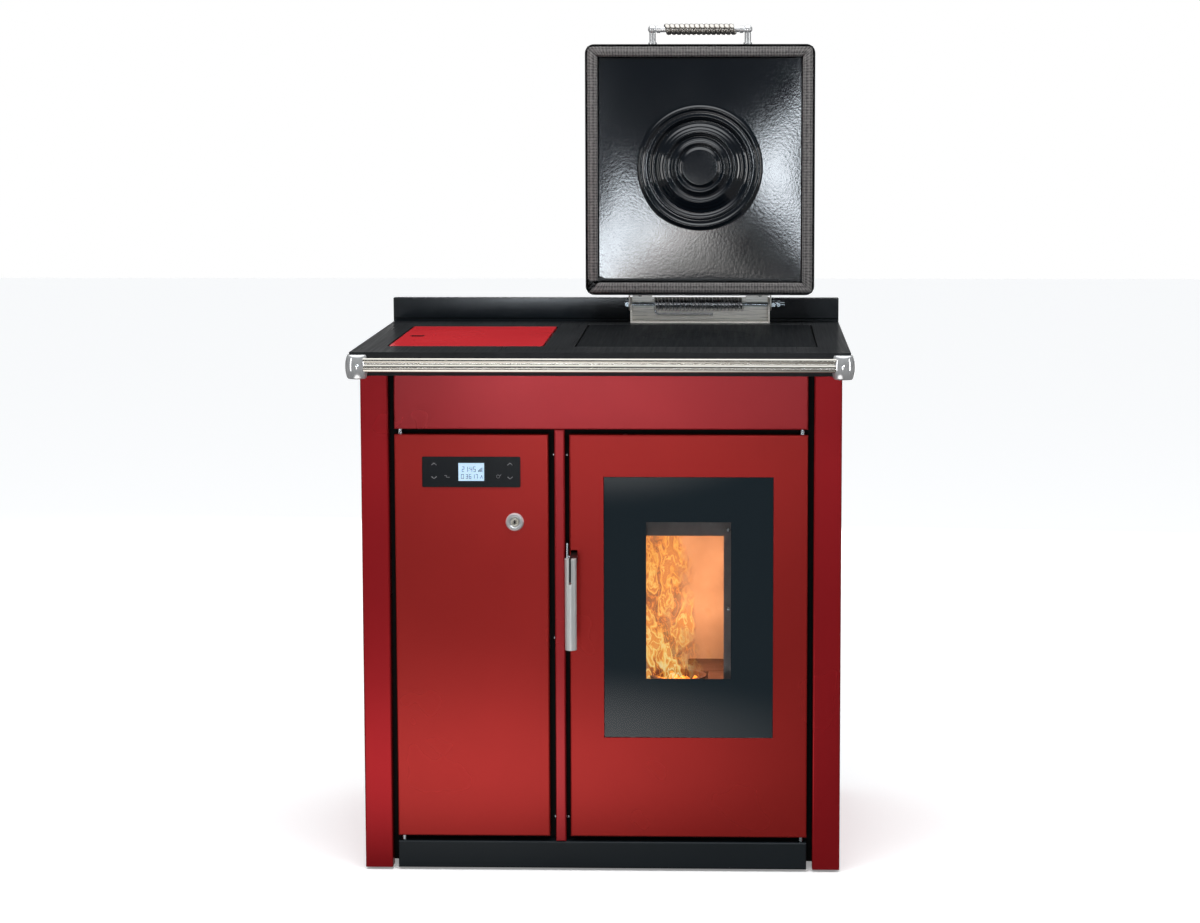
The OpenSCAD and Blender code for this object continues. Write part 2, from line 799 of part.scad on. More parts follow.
module chute_axis() {
    translate([chute_x, auger_y, chute_z]) rotate([0, 90 + chute_a, 0]) children();
}

// Feed tube with the inlet under the hopper and the drop box and chute at its upper end.
module auger_tube() color("silver") {
    in_r = auger_r - auger_wall;
    box = drop_box;
    deep = auger_r + 4;
    high = drop_box + 11;
    difference() {
        union() {
            auger_axis() cylinder(r = auger_r, h = auger_l);
            block([chute_x - box, auger_y - deep, chute_z - high], [chute_x + box, auger_y + deep, chute_z + high]);
            chute_axis() cylinder(r = chute_r, h = chute_l);
        }
        auger_axis() translate([0, 0, -1]) cylinder(r = in_r, h = auger_l + 1.5);
        chute_axis() cylinder(r = chute_r - 2, h = chute_l + 1);
        block([chute_x - box + 3, auger_y - deep + 3, chute_z - high + 3],
            [chute_x + box - 3, auger_y + deep - 3, chute_z + high - 3]);
        block([spout_x - spout + 4, auger_y - 18, spout_z], [spout_x + spout - 4, auger_y + 18, spout_z + 60]);
    }
}

// Screw that lifts the pellets up the tube.
module auger_screw() color("gray") {
    flight_r = auger_r - auger_wall - 2;
    pitch = auger_r * 1.4;
    turns = (auger_l - auger_r) / pitch;
    auger_axis() union() {
        translate([0, 0, -6]) cylinder(r = 7, h = auger_l - 4);
        translate([0, 0, 6]) linear_extrude(pitch * turns, twist = -360 * turns, slices = 45, $fn = 6)
            translate([0, -1.8]) square([flight_r, 3.6]);
    }
}

module auger_motor() color("dimgray") {
    gear_l = auger_r * 0.87;
    motor_l = auger_r * 1.6;
    auger_axis() difference() {
        union() {
            translate([-auger_r - 4, -auger_r - 2, -gear_l]) cube([2 * auger_r + 8, 2 * auger_r + 4, gear_l - 0.5]);
            translate([0, 0, -gear_l - motor_l]) cylinder(r = auger_r, h = motor_l + 0.5);
            translate([0, 0, -gear_l - motor_l - 8]) cylinder(r = auger_r * 0.47, h = 8.5);
        }
        translate([0, 0, -8]) cylinder(r = 7.3, h = 10);
    }
}

// ---------- Hob cover ----------

// Outer shell of the cover: an enamelled pan, open to the front when it stands up.
module cover_shell() color([0.16, 0.16, 0.17]) {
    lo = [cover_x0, cover_face, cover_z0];
    hi = [cover_x0 + cover_w, cover_back, cover_z1];
    t = cover_sheet;
    difference() {
        upright(lo, hi, cover_r, 8);
        upright(lo + [t, -1, t], hi - [t, t, t], cover_r - t, 8);
    }
}

// Rounds of the pressed rings: radius and height above the liner's face.
function liner_rise(r) =
    r > 111 ? 0 :
    r > 106 ? 3 * sin(180 * (111 - r) / 10) :
    r > 88 ? 3 - 12 * (106 - r) / 18 :
    r > 62 ? -9 + 1.5 * (88 - r) / 26 :
    r > 57 ? -7.5 + 6 * (62 - r) / 5 :
    r > 50 ? -1.5 + 2 * sin(180 * (57 - r) / 7) :
    r > 37 ? -1.5 - 6.5 * sin(180 * (50 - r) / 13) : -1.5 + 1.5 * (1 - r / 37);

// Black enamelled liner, pressed with rings round the middle.
module cover_liner() color([0.07, 0.08, 0.10]) {
    y0 = cover_face + liner_sink;
    t = 1.2;
    rise = 111.5;
    lo = [cover_x0 + liner_in, y0, cover_z0 + liner_in];
    hi = [cover_x0 + cover_w - liner_in, y0 + t, cover_z1 - liner_in];
    radii = [for (r = [0:3.7:37]) r, 40, 43, 46, 50, 52, 54, 57, 59, 62, 75, 88, 94, 100, 106, 108, 110, rise];
    face = [for (r = radii) [r, -liner_rise(r)]];
    back = [for (i = [len(radii) - 1:-1:0]) [radii[i], t - liner_rise(radii[i])]];
    difference() {
        upright(lo, hi, 4);
        bar_y(hob_x, liner_z, rise, y0 - 5, y0 + 5);
    }
    translate([hob_x, y0, liner_z]) rotate([-90, 0, 0]) rotate_extrude($fn = 96) polygon(concat(face, back));
    // Side walls of the tray that carry the seal.
    difference() {
        upright(lo + [-1, 0, -1], [hi.x + 1, cover_back - cover_sheet, hi.z + 1], 5);
        upright(lo + [0, -1, 0], [hi.x, cover_back, hi.z], 4);
    }
}

// Heat-proof rope seal between the rim and the liner.
module cover_seal() color([0.42, 0.41, 0.42]) {
    t = cover_sheet;
    y1 = cover_face + 14;
    lo = [cover_x0 + t, cover_face, cover_z0 + t];
    hi = [cover_x0 + cover_w - t, y1, cover_z1 - t];
    in = liner_in - 1;
    difference() {
        seal_ring(lo, hi, in - t);
        upright([cover_x0 + in, lo.y - 2, cover_z0 + in],
            [cover_x0 + cover_w - in, hi.y + 1, cover_z1 - in], 5);
    }
}

// The seal's ring, with its front edges drawn in like a half-round rope.
module seal_ring(lo, hi, w) {
    crown = 4;
    union() {
        upright(lo + [0, crown, 0], hi, cover_r - cover_sheet, 8);
        upright(lo + [2.5, crown / 2, 2.5], hi - [2.5, 1, 2.5], cover_r - 4, 8);
        upright(lo + [5.5, 0, 5.5], hi - [5.5, 1, 5.5], cover_r - 7, 8);
    }
}

// Lower hinge bracket on the worktop: foot, back plate and two ears.
module cover_hinge_base() color("gainsboro") {
    x0 = hob_x - hinge_w / 2;
    x1 = hob_x + hinge_w / 2;
    y0 = rod_y - ear_r - 2.5;
    y1 = top_back - splash_t;
    top = rod_z + ear_r;
    difference() {
        union() {
            block([x0, y0, worktop_top], [x1, y1, worktop_top + ear_t]);
            block([x0, y1 - ear_t, worktop_top], [x1, y1, top]);
            for (x = [x0, x1 - ear_t]) {
                block([x, y0, worktop_top], [x + ear_t, y1, rod_z]);
                block([x, rod_y - 8, worktop_top + 5], [x + ear_t, y1, top - 4]);
                bar_x(rod_y, rod_z, ear_r, x, x + ear_t);
            }
        }
        bar_x(rod_y, rod_z, rod_r + fit, x0 - 1, x1 + 1);
    }
}

// Rod through the four ears, with its nuts and the locking screw beside them.
module hinge_rod() color("silver") {
    x0 = hob_x - hinge_w / 2 - ear_gap - ear_t;
    x1 = hob_x + hinge_w / 2 + ear_gap + ear_t;
    union() {
        bar_x(rod_y, rod_z, rod_r, x0 - 8, x1 + 24);
        hex_x(rod_y, rod_z, 8, x0 - 6.4, x0 - 0.4);
        hex_x(rod_y, rod_z, 8, x1 + 0.4, x1 + 6.4);
        hex_x(rod_y, rod_z, 7, x1 + 10, x1 + 16);
    }
}

// Torsion spring round the rod: a coil whose first end bends down to a long leg that bears on
// the bracket's back plate.
spring_len = spring_turns * spring_pitch;
spring_x0 = hob_x - spring_len / 2 - 2;
leg_l = 104;
leg_y = top_back - splash_t - ear_t - spring_wire / 2 - 0.3;
leg_z = rod_z - spring_r - 9.6;
bend = 7;
spring_leg = concat(
    [for (t = [leg_l, 80, 55, 30]) [spring_x0 + t, leg_y, leg_z]],
    [for (a = [0:30:90]) [spring_x0 + bend - bend * sin(a), leg_y, leg_z + bend - bend * cos(a)]],
    [[spring_x0, leg_y - 2.5, rod_z - 8], [spring_x0, rod_y + spring_r + 0.8, rod_z - 4]]);
spring_line = concat(spring_leg, coil_path(spring_x0, rod_y, rod_z, spring_r, spring_pitch, spring_turns),
    [[spring_x0 + spring_len + 0.6, rod_y + spring_r, rod_z + spring_wire]]);
echo(spring_gap = wire_gap(spring_line, spring_wire));

module hinge_spring() color("darkgray")
    polyhedron(wire_rings(spring_line, spring_wire / 2, 6), wire_faces(len(spring_line), 6), convexity = 10);

tab_in = 2 * (ear_t + ear_gap) + 0.5;
tab_play = spring_wire / 2 + 2.5;

// Upper hinge strap: the cover's half of the hinge.
module cover_hinge_strap() color("gainsboro") {
    x0 = hob_x - hinge_w / 2 - ear_gap - ear_t;
    x1 = hob_x + hinge_w / 2 + ear_gap + ear_t;
    y0 = rod_y - ear_r + 1;
    y1 = cover_back;
    difference() {
        union() {
            block([x0, y0, cover_z0 - ear_t], [x1, y1, cover_z0]);
            for (x = [x0, x1 - ear_t]) {
                block([x, y0, rod_z], [x + ear_t, y1, cover_z0 - 1]);
                bar_x(rod_y, rod_z, ear_r - 1, x, x + ear_t);
            }
            // tabs that hang behind the rod, clear of the base's ears and of the spring
            for (x = [[x0 + tab_in, spring_x0 - tab_play], [spring_x0 + spring_len + tab_play, x1 - tab_in]])
                block([x[0], rod_y + rod_r + 1, rod_z + 1], [x[1], rod_y + rod_r + 1 + ear_t, cover_z0 - 1]);
        }
        bar_x(rod_y, rod_z, rod_r + fit, x0 - 1, x1 + 1);
    }
}

// Chrome posts with round heads, and the bar between them.
module cover_handle_posts() color("silver") {
    union() {
        for (s = [-1, 1]) translate([hob_x + s * post_gap / 2, grip_mid, 0]) {
            bar_z(0, 0, 5.5, cover_z1, grip_z);
            bar_z(0, 0, 7.5, cover_z1, cover_z1 + 3);
            translate([0, 0, grip_z]) sphere(r = 8, $fn = 32);
        }
        bar_x(grip_mid, grip_z, coil_r * cos(22.5) - coil_wire / 2 - 0.1,
            hob_x - post_gap / 2, hob_x + post_gap / 2);
        for (s = [-1, 1]) translate([hob_x + s * (post_gap / 2 - 11), 0, 0])
            bar_x(grip_mid, grip_z, 6.5, -3, 3);
    }
}

coil_len = coil_turns * coil_pitch;
coil_line = concat([[hob_x - coil_len / 2 - 0.8, grip_mid + coil_r, grip_z - coil_wire]],
    coil_path(hob_x - coil_len / 2, grip_mid, grip_z, coil_r, coil_pitch, coil_turns),
    [[hob_x + coil_len / 2 + 0.8, grip_mid + coil_r, grip_z + coil_wire]]);
echo(grip_coil_gap = wire_gap(coil_line, coil_wire));

module cover_handle_coil() color("silver")
    polyhedron(wire_rings(coil_line, coil_wire / 2, 6), wire_faces(len(coil_line), 6), convexity = 10);

// ---------- Technical door ----------

module door_pin_holes(x) {
    bar_z(x, pin_y, pin_r + 1, door_z0 - 1, door_z0 + sheet + 0.1);
    bar_z(x, pin_y, pin_r + 1, door_z1 - sheet - 0.1, door_z1 + 1);
}

// Bored blocks in a door's corners that turn on the pins.
module door_hinge_blocks(x, front_play = 0) {
    in = sheet + 0.6;
    for (z = [door_z0 + in, door_z1 - in - hinge_block.z]) difference() {
        block([x - hinge_block.x / 2, body_front + sheet + front_play, z],
            [x + hinge_block.x / 2, body_front + sheet + hinge_block.y, z + hinge_block.z]);
        bar_z(x, pin_y, pin_r + fit, z - 1, z + hinge_block.z + 1);
    }
}

panel_x = (door_x0 + tech_x1) / 2;
panel_z1 = door_z1 - panel_drop;
panel_z0 = panel_z1 - panel_h;
lock_x = tech_x1 - lock_in;
lock_z = door_z1 - lock_drop;
lock_shank = 9.5;
barrel_r = 6.5;
cam_l = lock_in + 5;

module technical_door() color("firebrick") {
    difference() {
        pan([door_x0, body_front, door_z0], [tech_x1, body_front + door_t, door_z1]);
        door_pin_holes(-pin_x);
        block([panel_x - panel_w / 2 + 4, body_front - 1, panel_z0 + 4],
            [panel_x + panel_w / 2 - 4, body_front + sheet + 1, panel_z1 - 4]);
        bar_y(lock_x, lock_z, lock_shank + 0.3, body_front - 1, body_front + sheet + 1);
    }
}

module technical_door_back() color([0.12, 0.12, 0.13]) {
    y1 = body_front + door_t;
    union() {
        difference() {
            block([door_x0 + sheet + seat, y1 - sheet, door_z0 + sheet + seat],
                [tech_x1 - sheet - seat, y1, door_z1 - sheet - seat]);
            bar_y(lock_x, lock_z, lock_shank + 0.3, y1 - sheet - 1, y1 + 1);
            block([panel_x - 62, y1 - sheet - 1, panel_z0 + 6], [panel_x + 62, y1 + 1, panel_z1 - 6]);
        }
        door_hinge_blocks(-pin_x, seat);
    }
}

// Black moulded control panel with a window for the screen and its rear housing.
screen_w = 42;
screen_h = 29.5;
bezel_out = 1.5;
module control_bezel() color([0.03, 0.03, 0.04]) {
    y0 = body_front - bezel_out;
    difference() {
        union() {
            upright([panel_x - panel_w / 2, y0, panel_z0], [panel_x + panel_w / 2, body_front, panel_z1], 2);
            block([panel_x - panel_w / 2 + 5, body_front - 0.5, panel_z0 + 5],
                [panel_x + panel_w / 2 - 5, body_front + 10, panel_z1 - 5]);
        }
        block([panel_x - screen_w / 2, y0 - 1, (panel_z0 + panel_z1 - screen_h) / 2],
            [panel_x + screen_w / 2, body_front + 8, (panel_z0 + panel_z1 + screen_h) / 2]);
    }
}

module control_screen() color([0.75, 0.88, 0.95])
    block([panel_x - screen_w / 2 + 0.2, body_front - bezel_out + 0.4, (panel_z0 + panel_z1 - screen_h) / 2 + 0.2],
        [panel_x + screen_w / 2 - 0.2, body_front + 8, (panel_z0 + panel_z1 + screen_h) / 2 - 0.2]);

// Lock housing: dished ring, shank and fixing nut.
module lock_body() color("silver") {
    y = body_front;
    difference() {
        union() {
            translate([lock_x, y, lock_z]) rotate([90, 0, 0]) cylinder(r1 = lock_r, r2 = lock_r - 2, h = 3);
            bar_y(lock_x, lock_z, lock_shank, y - 0.1, y + door_t + 5);
            translate([lock_x, y + door_t, lock_z]) rotate([-90, 0, 0]) cylinder(r = 14, h = 4, $fn = 6);
        }
        bar_y(lock_x, lock_z, barrel_r + fit, y - 4, y + door_t + 6);
        translate([lock_x, y - 3.1, lock_z]) rotate([-90, 0, 0]) cylinder(r1 = barrel_r + 3, r2 = barrel_r + fit, h = 3);
    }
}

// Barrel with its square key hole, and the cam that turns behind the frame's edge.
module lock_barrel() color("lightgray") {
    y1 = frame_y + sheet + 0.5;
    union() {
        difference() {
            bar_y(lock_x, lock_z, barrel_r, body_front - 1.5, y1 + 1);
            translate([lock_x - 3.2, body_front - 2, lock_z - 3.2]) cube([6.4, 9, 6.4]);
        }
        upright([lock_x - 7, y1, lock_z - cam_l], [lock_x + 7, y1 + 2.2, lock_z + 8], 6);
    }
}

// ---------- Fire door ----------

module fire_door() color("firebrick") {
    gx0 = glass_x - glass_w / 2;
    gx1 = glass_x + glass_w / 2;
    p = glass_play;
    difference() {
        union() {
            pan([fire_x0, body_front, door_z0], [door_x1, body_front + door_t, door_z1]);
            block([gx0 - p - sheet, body_front + 1, glass_z0 - p - sheet],
                [gx1 + p + sheet, body_front + door_t, glass_z1 + p + sheet]);
            door_hinge_blocks(pin_x);
        }
        block([gx0 - p, body_front - 1, glass_z0 - p], [gx1 + p, body_front + door_t + 1, glass_z1 + p]);
        door_pin_holes(pin_x);
        block([lever_x - lever_play, body_front - 1, handle_z - lever_h / 2 - lever_play],
            [lever_x + lever_w + lever_play, body_front + sheet + 1, slot_z1]);
        bar_x(handle_y, handle_z, pivot_r + fit, fire_x0 - 1, fire_x0 + sheet + 1);
    }
    // Bearing for the handle's pivot.
    difference() {
        block([lever_x + lever_w + lever_play, body_front + sheet, handle_z - 9],
            [lever_x + lever_w + 9, body_front + sheet + 12, handle_z + 9]);
        bar_x(handle_y, handle_z, pivot_r + fit, lever_x, lever_x + lever_w + 12);
    }
}

module window_hole(y0, y1, grow = 0) {
    block([glass_x - window_w / 2 - grow, y0, window_z0 - grow],
        [glass_x + window_w / 2 + grow, y1, window_z1 + grow]);
}

module door_glass() color([0.10, 0.12, 0.14, 0.6])
    upright([glass_x - glass_w / 2, body_front + glass_sink, glass_z0],
        [glass_x + glass_w / 2, border_y, glass_z1], 1);

module glass_border() color([0.08, 0.10, 0.12]) {
    difference() {
        block([glass_x - glass_w / 2, border_y, glass_z0], [glass_x + glass_w / 2, border_y + border_t, glass_z1]);
        window_hole(border_y - 1, border_y + border_t + 1);
    }
}

// Inner casting: a frame that backs the glass, the plate and the rim that holds the seal.
module door_casting() color([0.20, 0.20, 0.21]) {
    y1 = casting_y + casting_plate;
    difference() {
        union() {
            block([casting_x0, casting_y, casting_z0], [casting_x1, y1 + casting_rim, casting_z1]);
            difference() {
                block([glass_x - glass_w / 2 + 1, border_y + border_t, glass_z0 + 1],
                    [glass_x + glass_w / 2 - 1, casting_y + 0.1, glass_z1 - 1]);
                difference() {
                    block([glass_x - glass_w / 2 + 13, border_y, glass_z0 + 13],
                        [glass_x + glass_w / 2 - 13, casting_y, glass_z1 - 13]);
                    window_hole(border_y - 1, casting_y + 1, 12);
                }
            }
        }
        block([casting_x0 + 14, y1, casting_z0 + 14], [casting_x1 - 14, y1 + casting_rim + 1, casting_z1 - 14]);
        window_hole(border_y, y1 + 1, 4);
    }
}

module door_seal() color([0.75, 0.74, 0.70]) {
    y0 = casting_y + casting_plate + casting_rim;
    difference() {
        block([casting_x0 + 2, y0, casting_z0 + 2], [casting_x1 - 2, y0 + seal_t, casting_z1 - 2]);
        block([casting_x0 + 12, y0 - 1, casting_z0 + 12], [casting_x1 - 12, y0 + seal_t + 1, casting_z1 - 12]);
    }
}

// Angled strip behind the window's top and right edges, with its two screws.
module glass_clip() color("darkgray") {
    y0 = casting_y + casting_plate;
    x0 = glass_x + window_w / 2 - 12;
    union() {
        block([x0, y0, window_z0 - 8], [x0 + 30, y0 + 2.5, window_z1 + 8]);
        block([glass_x - window_w / 2 - 16, y0, window_z1 - 26], [x0 + 1, y0 + 2.5, window_z1 + 8]);
        for (z = [window_z1 - 14, window_z1 - 145]) bar_y(x0 + 6, z, 2.6, y0 - 2.2, y0 + 0.5);
    }
}

// Steel grip, slotted at its upper end for the lever.
module door_grip() color("gainsboro") {
    cut = grip_top - 41;
    difference() {
        bar_z(grip_x, grip_y, grip_r, grip_top - grip_l, grip_top);
        block([lever_x, grip_y - 12, cut], [lever_x + 3.4, grip_y + 12, grip_top + 1]);
        block([lever_x + 3.3, grip_y + 3.5, cut], [grip_x + 12, grip_y + 12, grip_top + 1]);
    }
}

// Black lever from the grip through the door to its pivot.
module handle_lever() color([0.05, 0.05, 0.05]) {
    z0 = handle_z - lever_h / 2 + 0.5;
    difference() {
        union() {
            block([lever_x, grip_y + 4, z0], [lever_x + lever_w, handle_y + 4, lever_z1]);
            block([lever_x, grip_y - 7, grip_top - 38], [lever_x + 3.1, grip_y + 6, lever_z1]);
        }
        bar_x(handle_y, handle_z, pivot_r + 0.02, lever_x - 1, lever_x + lever_w + 1);
    }
}

// Pivot and the bright tongue that stands up in the gap beside the door.
module latch_tongue() color("silver") {
    x1 = fire_x0 - tongue_play;
    union() {
        bar_x(handle_y, handle_z, pivot_r, x1 - 0.5, lever_x + lever_w + 8);
        block([x1 - tongue_t, handle_y - 5, handle_z - 6], [x1, handle_y + 4, handle_z + tongue_h]);
    }
}

// ---------- Fire side ----------

// Outer shell of the water jacket, open at the firebox's mouth and under the hob.
module boiler_shell() color("slategray") {
    t = boiler_wall;
    lo = [boiler_x0, boiler_front, boiler_z0];
    hi = [boiler_x1, boiler_back, boiler_z1];
    difference() {
        union() {
            block(lo, hi);
            for (y = [lo.y + 30, hi.y - 70])
                block([lo.x + 20, y, tray_z + sheet], [hi.x - 20, y + 40, lo.z + 1]);
        }
        block(lo + [t, t, t], hi - [t, t, t]);
        block([box_x0, lo.y - 1, lo.z + 20], [box_x1, lo.y + t + 1, mouth_z1]);
        block([box_x0, lo.y + t, hi.z - t - 1], [box_x1, box_back, hi.z + 1]);
        chute_axis() cylinder(r = chute_r + 0.3, h = chute_cut, center = true);
        for (p = flow_xz) bar_y(p[0], p[1], stub_r - 3, hi.y - t - 1, hi.y + 1);
        bar_y(air_x, air_z, air_r - 2, hi.y - t - 1, hi.y + 1);
        smoke_duct(-sheet);
    }
}

// Inner box: ash space below the hearth, combustion space above it, open to the hob.
module firebox() color([0.22, 0.2, 0.19]) {
    t = box_wall;
    lo = [box_x0, boiler_front + boiler_wall, boiler_z0 + 20];
    hi = [box_x1, box_back, boiler_z1 - boiler_wall];
    difference() {
        block(lo, hi);
        block(lo + [t, -1, t], [hi.x - t, hi.y - t, hearth_z]);
        block([lo.x + t, lo.y - 1, hearth_z + t], [hi.x - t, hi.y - t, mouth_z1 - t]);
        block([lo.x + t, lo.y + t, hearth_z + t], [hi.x - t, hi.y - t, hi.z + 1]);
        bar_z(pot_x, pot_y, pot_r - 4, hearth_z - 1, hearth_z + t + 1);
        chute_axis() cylinder(r = chute_r + 0.3, h = chute_cut, center = true);
    }
}

// Heat-proof slabs on the back and sides of the combustion space, and the baffle on them.
module firebox_lining() color([0.72, 0.60, 0.50]) {
    x0 = box_x0 + box_wall;
    x1 = box_x1 - box_wall;
    y0 = boiler_front + boiler_wall + box_wall + 1;
    y1 = box_back - box_wall;
    z0 = hearth_z + box_wall;
    z1 = mouth_z1 + 20;
    block([x0, y1 - lining_t, z0], [x1, y1, z1]);
    difference() {
        block([x0, y0, z0], [x0 + lining_t, y1 - lining_t, z1]);
        chute_axis() cylinder(r = chute_r + 1, h = chute_cut, center = true);
    }
    block([x1 - lining_t, y0, z0], [x1, y1 - lining_t, z1]);
    block([x0, y0 + 60, z1], [x1, y1, z1 + 8]);
}

// Cast burn pot: a flanged cup with rows of air holes.
module burn_pot() color([0.16, 0.15, 0.15]) {
    z0 = hearth_z + box_wall;
    difference() {
        union() {
            bar_z(pot_x, pot_y, pot_r, z0, z0 + pot_h);
            bar_z(pot_x, pot_y, pot_r - 4.5, hearth_z - 14, z0 + 1);
        }
        bar_z(pot_x, pot_y, pot_r - 7, z0 - 4, z0 + pot_h + 1);
        for (a = [0:30:330]) translate([pot_x, pot_y, z0 + 22]) rotate([0, 90, a])
            translate([0, 0, pot_r - 9]) cylinder(r = 3.5, h = 12, $fn = 16);
        for (x = [-20, 0, 20], y = [-20, 0, 20]) bar_z(pot_x + x, pot_y + y, 3.5, hearth_z - 15, z0);
    }
}

// Folded ash drawer with a bar handle.
module ash_drawer() color("dimgray") {
    lo = [box_x0 + box_wall + 4, boiler_front + boiler_wall + 2, boiler_z0 + 20 + box_wall];
    hi = [box_x1 - box_wall - 4, box_back - box_wall - 10, hearth_z - 22];
    mid = (lo.x + hi.x) / 2;
    union() {
        difference() {
            block(lo, hi);
            block(lo + [sheet, sheet, sheet], hi + [-sheet, -sheet, 1]);
        }
        block([mid - 40, lo.y - 8, hi.z - 22], [mid + 40, lo.y + 0.5, hi.z - 18]);
    }
}

// Square duct from the boiler to the smoke fan; grow widens it into a clearance hole.
module smoke_duct(grow) {
    block([fan_x + fan_r - 4, fan_y0 + 6 - grow, fan_z - 30 - grow],
        [boiler_x0 + (grow == 0 ? 0 : 10), fan_y0 + fan_w - 6 + grow, fan_z + 30 + grow]);
}

// Scroll housing of the smoke fan with its duct, stand and motor.
module smoke_fan() color("silver") {
    difference() {
        union() {
            bar_y(fan_x, fan_z, fan_r, fan_y0, fan_y0 + fan_w);
            smoke_duct(0);
            bar_y(fan_x, fan_z, fan_r * 0.47, fan_y0 - fan_w * 1.1, fan_y0 - 8);
            bar_y(fan_x, fan_z, fan_r * 0.36, fan_y0 - 9, fan_y0 + 1);
            block([fan_x - fan_r * 0.62, fan_y0, tray_z + sheet],
                [fan_x + fan_r * 0.62, fan_y0 + fan_w, fan_z - fan_r * 0.7]);
        }
        bar_y(fan_x, fan_z, fan_r - 3, fan_y0 + 3, fan_y0 + fan_w - 3);
        bar_y(fan_x, fan_z, flue_r - 2, fan_y0 + fan_w - 4, fan_y0 + fan_w + 1);
        bar_y(fan_x, fan_z, 5.3, fan_y0 - 20, fan_y0 + 4);
        translate([0, 0, 0]) block([fan_x + fan_r - 20, fan_y0 + 6 + sheet, fan_z - 30 + sheet],
            [boiler_x0 + 1, fan_y0 + fan_w - 6 - sheet, fan_z + 30 - sheet]);
    }
}

module fan_impeller() color("gainsboro") {
    r = fan_r - 12;
    y = fan_y0 + 6;
    union() {
        bar_y(fan_x, fan_z, r, y, y + 2.5);
        bar_y(fan_x, fan_z, 10, y, y + fan_w * 0.46);
        bar_y(fan_x, fan_z, 5, fan_y0 - 18, y + 1);
        for (a = [0:30:330]) translate([fan_x, 0, fan_z]) rotate([0, a, 0])
            translate([r * 0.3, y + 1, -1]) cube([r * 0.69, fan_w * 0.54, 2]);
    }
}

// Wet-rotor pump that drives the heating water, with its unions and riser pipe.
module circulation_pump() color("darkred") {
    r = pump_r;
    x = -side_in + r + 20;
    y = body_front + 4 * r;
    z = tray_z + sheet + 2.8 * r;
    union() {
        bar_y(x, z, r, y - 1.65 * r, y + 0.2 * r);
        bar_y(x, z, r * 1.2, y + 0.18 * r, y + 0.9 * r);
        translate([x, y + 0.54 * r, z - 2.8 * r]) cylinder(r = r * 0.4, h = 5.5 * r);
        for (h = [-1.85, 1.2])
            translate([x, y + 0.54 * r, z + h * r]) cylinder(r = r * 0.55, h = r * 0.63, $fn = 6);
    }
}

// Flat expansion vessel behind the hopper, held to the rear panel.
module expansion_vessel() color("crimson") {
    r = vessel_r;
    e = r / 6;
    h = r * 0.65;
    translate([fan_x - 20, rear_y, bin_z0 - 72]) rotate([90, 0, 0]) union() {
        cylinder(r = r * 0.3, h = 8);
        translate([0, 0, 7.5]) rotate_extrude($fn = 64) polygon(concat([[0, 0]],
            arc(r - e, e, e, -90, 0, 6), arc(r - e, h - e, e, 0, 90, 6), [[0, h]]));
        translate([0, 0, h + 2]) cylinder(r = r * 0.09, h = 14, $fn = 6);
    }
}

// A pipe out of the rear: neck through the panel, collar that stops the outer pipe, spigot.
module spigot(x, z, r, wall, y0, y1) {
    difference() {
        union() {
            bar_y(x, z, r - neck_in, y0, y1 - 1);
            bar_y(x, z, r + collar_out, body_back + 0.5, spigot_y0);
            bar_y(x, z, r, spigot_y0 - 1, y1);
        }
        bar_y(x, z, r - wall, y0 - 1, y1 + 1);
    }
}

// Spigots through the rear panel: flue, combustion air and four water pipes.
module flue_and_pipes() color("darkgray") {
    spigot(fan_x, fan_z, flue_r, 2, fan_y0 + fan_w, top_back + rear_reach);
    spigot(air_x, air_z, air_r, 2, boiler_back, top_back + air_reach);
    for (p = flow_xz) spigot(p[0], p[1], stub_r, 4, boiler_back, top_back + stub_reach);
}

// Mains inlet in the rear panel.
module power_inlet() color([0.06, 0.06, 0.06]) {
    lo = [inlet_x - 15, rear_y - 28, inlet_z - 24];
    hi = [inlet_x + 15, body_back, inlet_z + 24];
    difference() {
        union() {
            block(lo, hi);
            block([lo.x - 4, body_back, lo.z - 4], [hi.x + 4, body_back + 3, hi.z + 4]);
        }
        upright([inlet_x - 12, body_back - 10, inlet_z - 21], [inlet_x + 12, body_back + 4, inlet_z - 3], 3);
        for (x = [-7, 0, 7]) block([inlet_x + x - 1, body_back - 24, inlet_z - 13], [inlet_x + x + 1, body_back - 9, inlet_z - 9]);
    }
}

base_tray();
levelling_feet();
plinth();
left_side_panel();
right_side_panel();
front_fascia();
centre_stile();
front_frame();
rear_panel();
partition_wall();
door_hinge_pins();
worktop();
upstand();
front_rail();
left_rail_corner();
right_rail_corner();
hob_plate();
hob_ring();
hob_disc();
hopper_lid();
hopper_lid_seal();
pellet_hopper();
cover_hinge_base();
hinge_rod();
hinge_spring();
cover_shell();
cover_liner();
cover_seal();
cover_hinge_strap();
cover_handle_posts();
cover_handle_coil();
technical_door();
technical_door_back();
control_bezel();
control_screen();
lock_body();
lock_barrel();
fire_door();
door_glass();
glass_border();
door_casting();
door_seal();
glass_clip();
door_grip();
handle_lever();
latch_tongue();
boiler_shell();
firebox();
firebox_lining();
burn_pot();
ash_drawer();
auger_tube();
auger_screw();
auger_motor();
smoke_fan();
fan_impeller();
circulation_pump();
expansion_vessel();
flue_and_pipes();
power_inlet();
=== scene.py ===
"""A pellet-fired range cooker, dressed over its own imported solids.

Every length here is in metres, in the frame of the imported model: X to the right, Y to the rear, Z up.
"""

import json
import math
import random

import bmesh
import bpy
from mathutils import Matrix, Vector


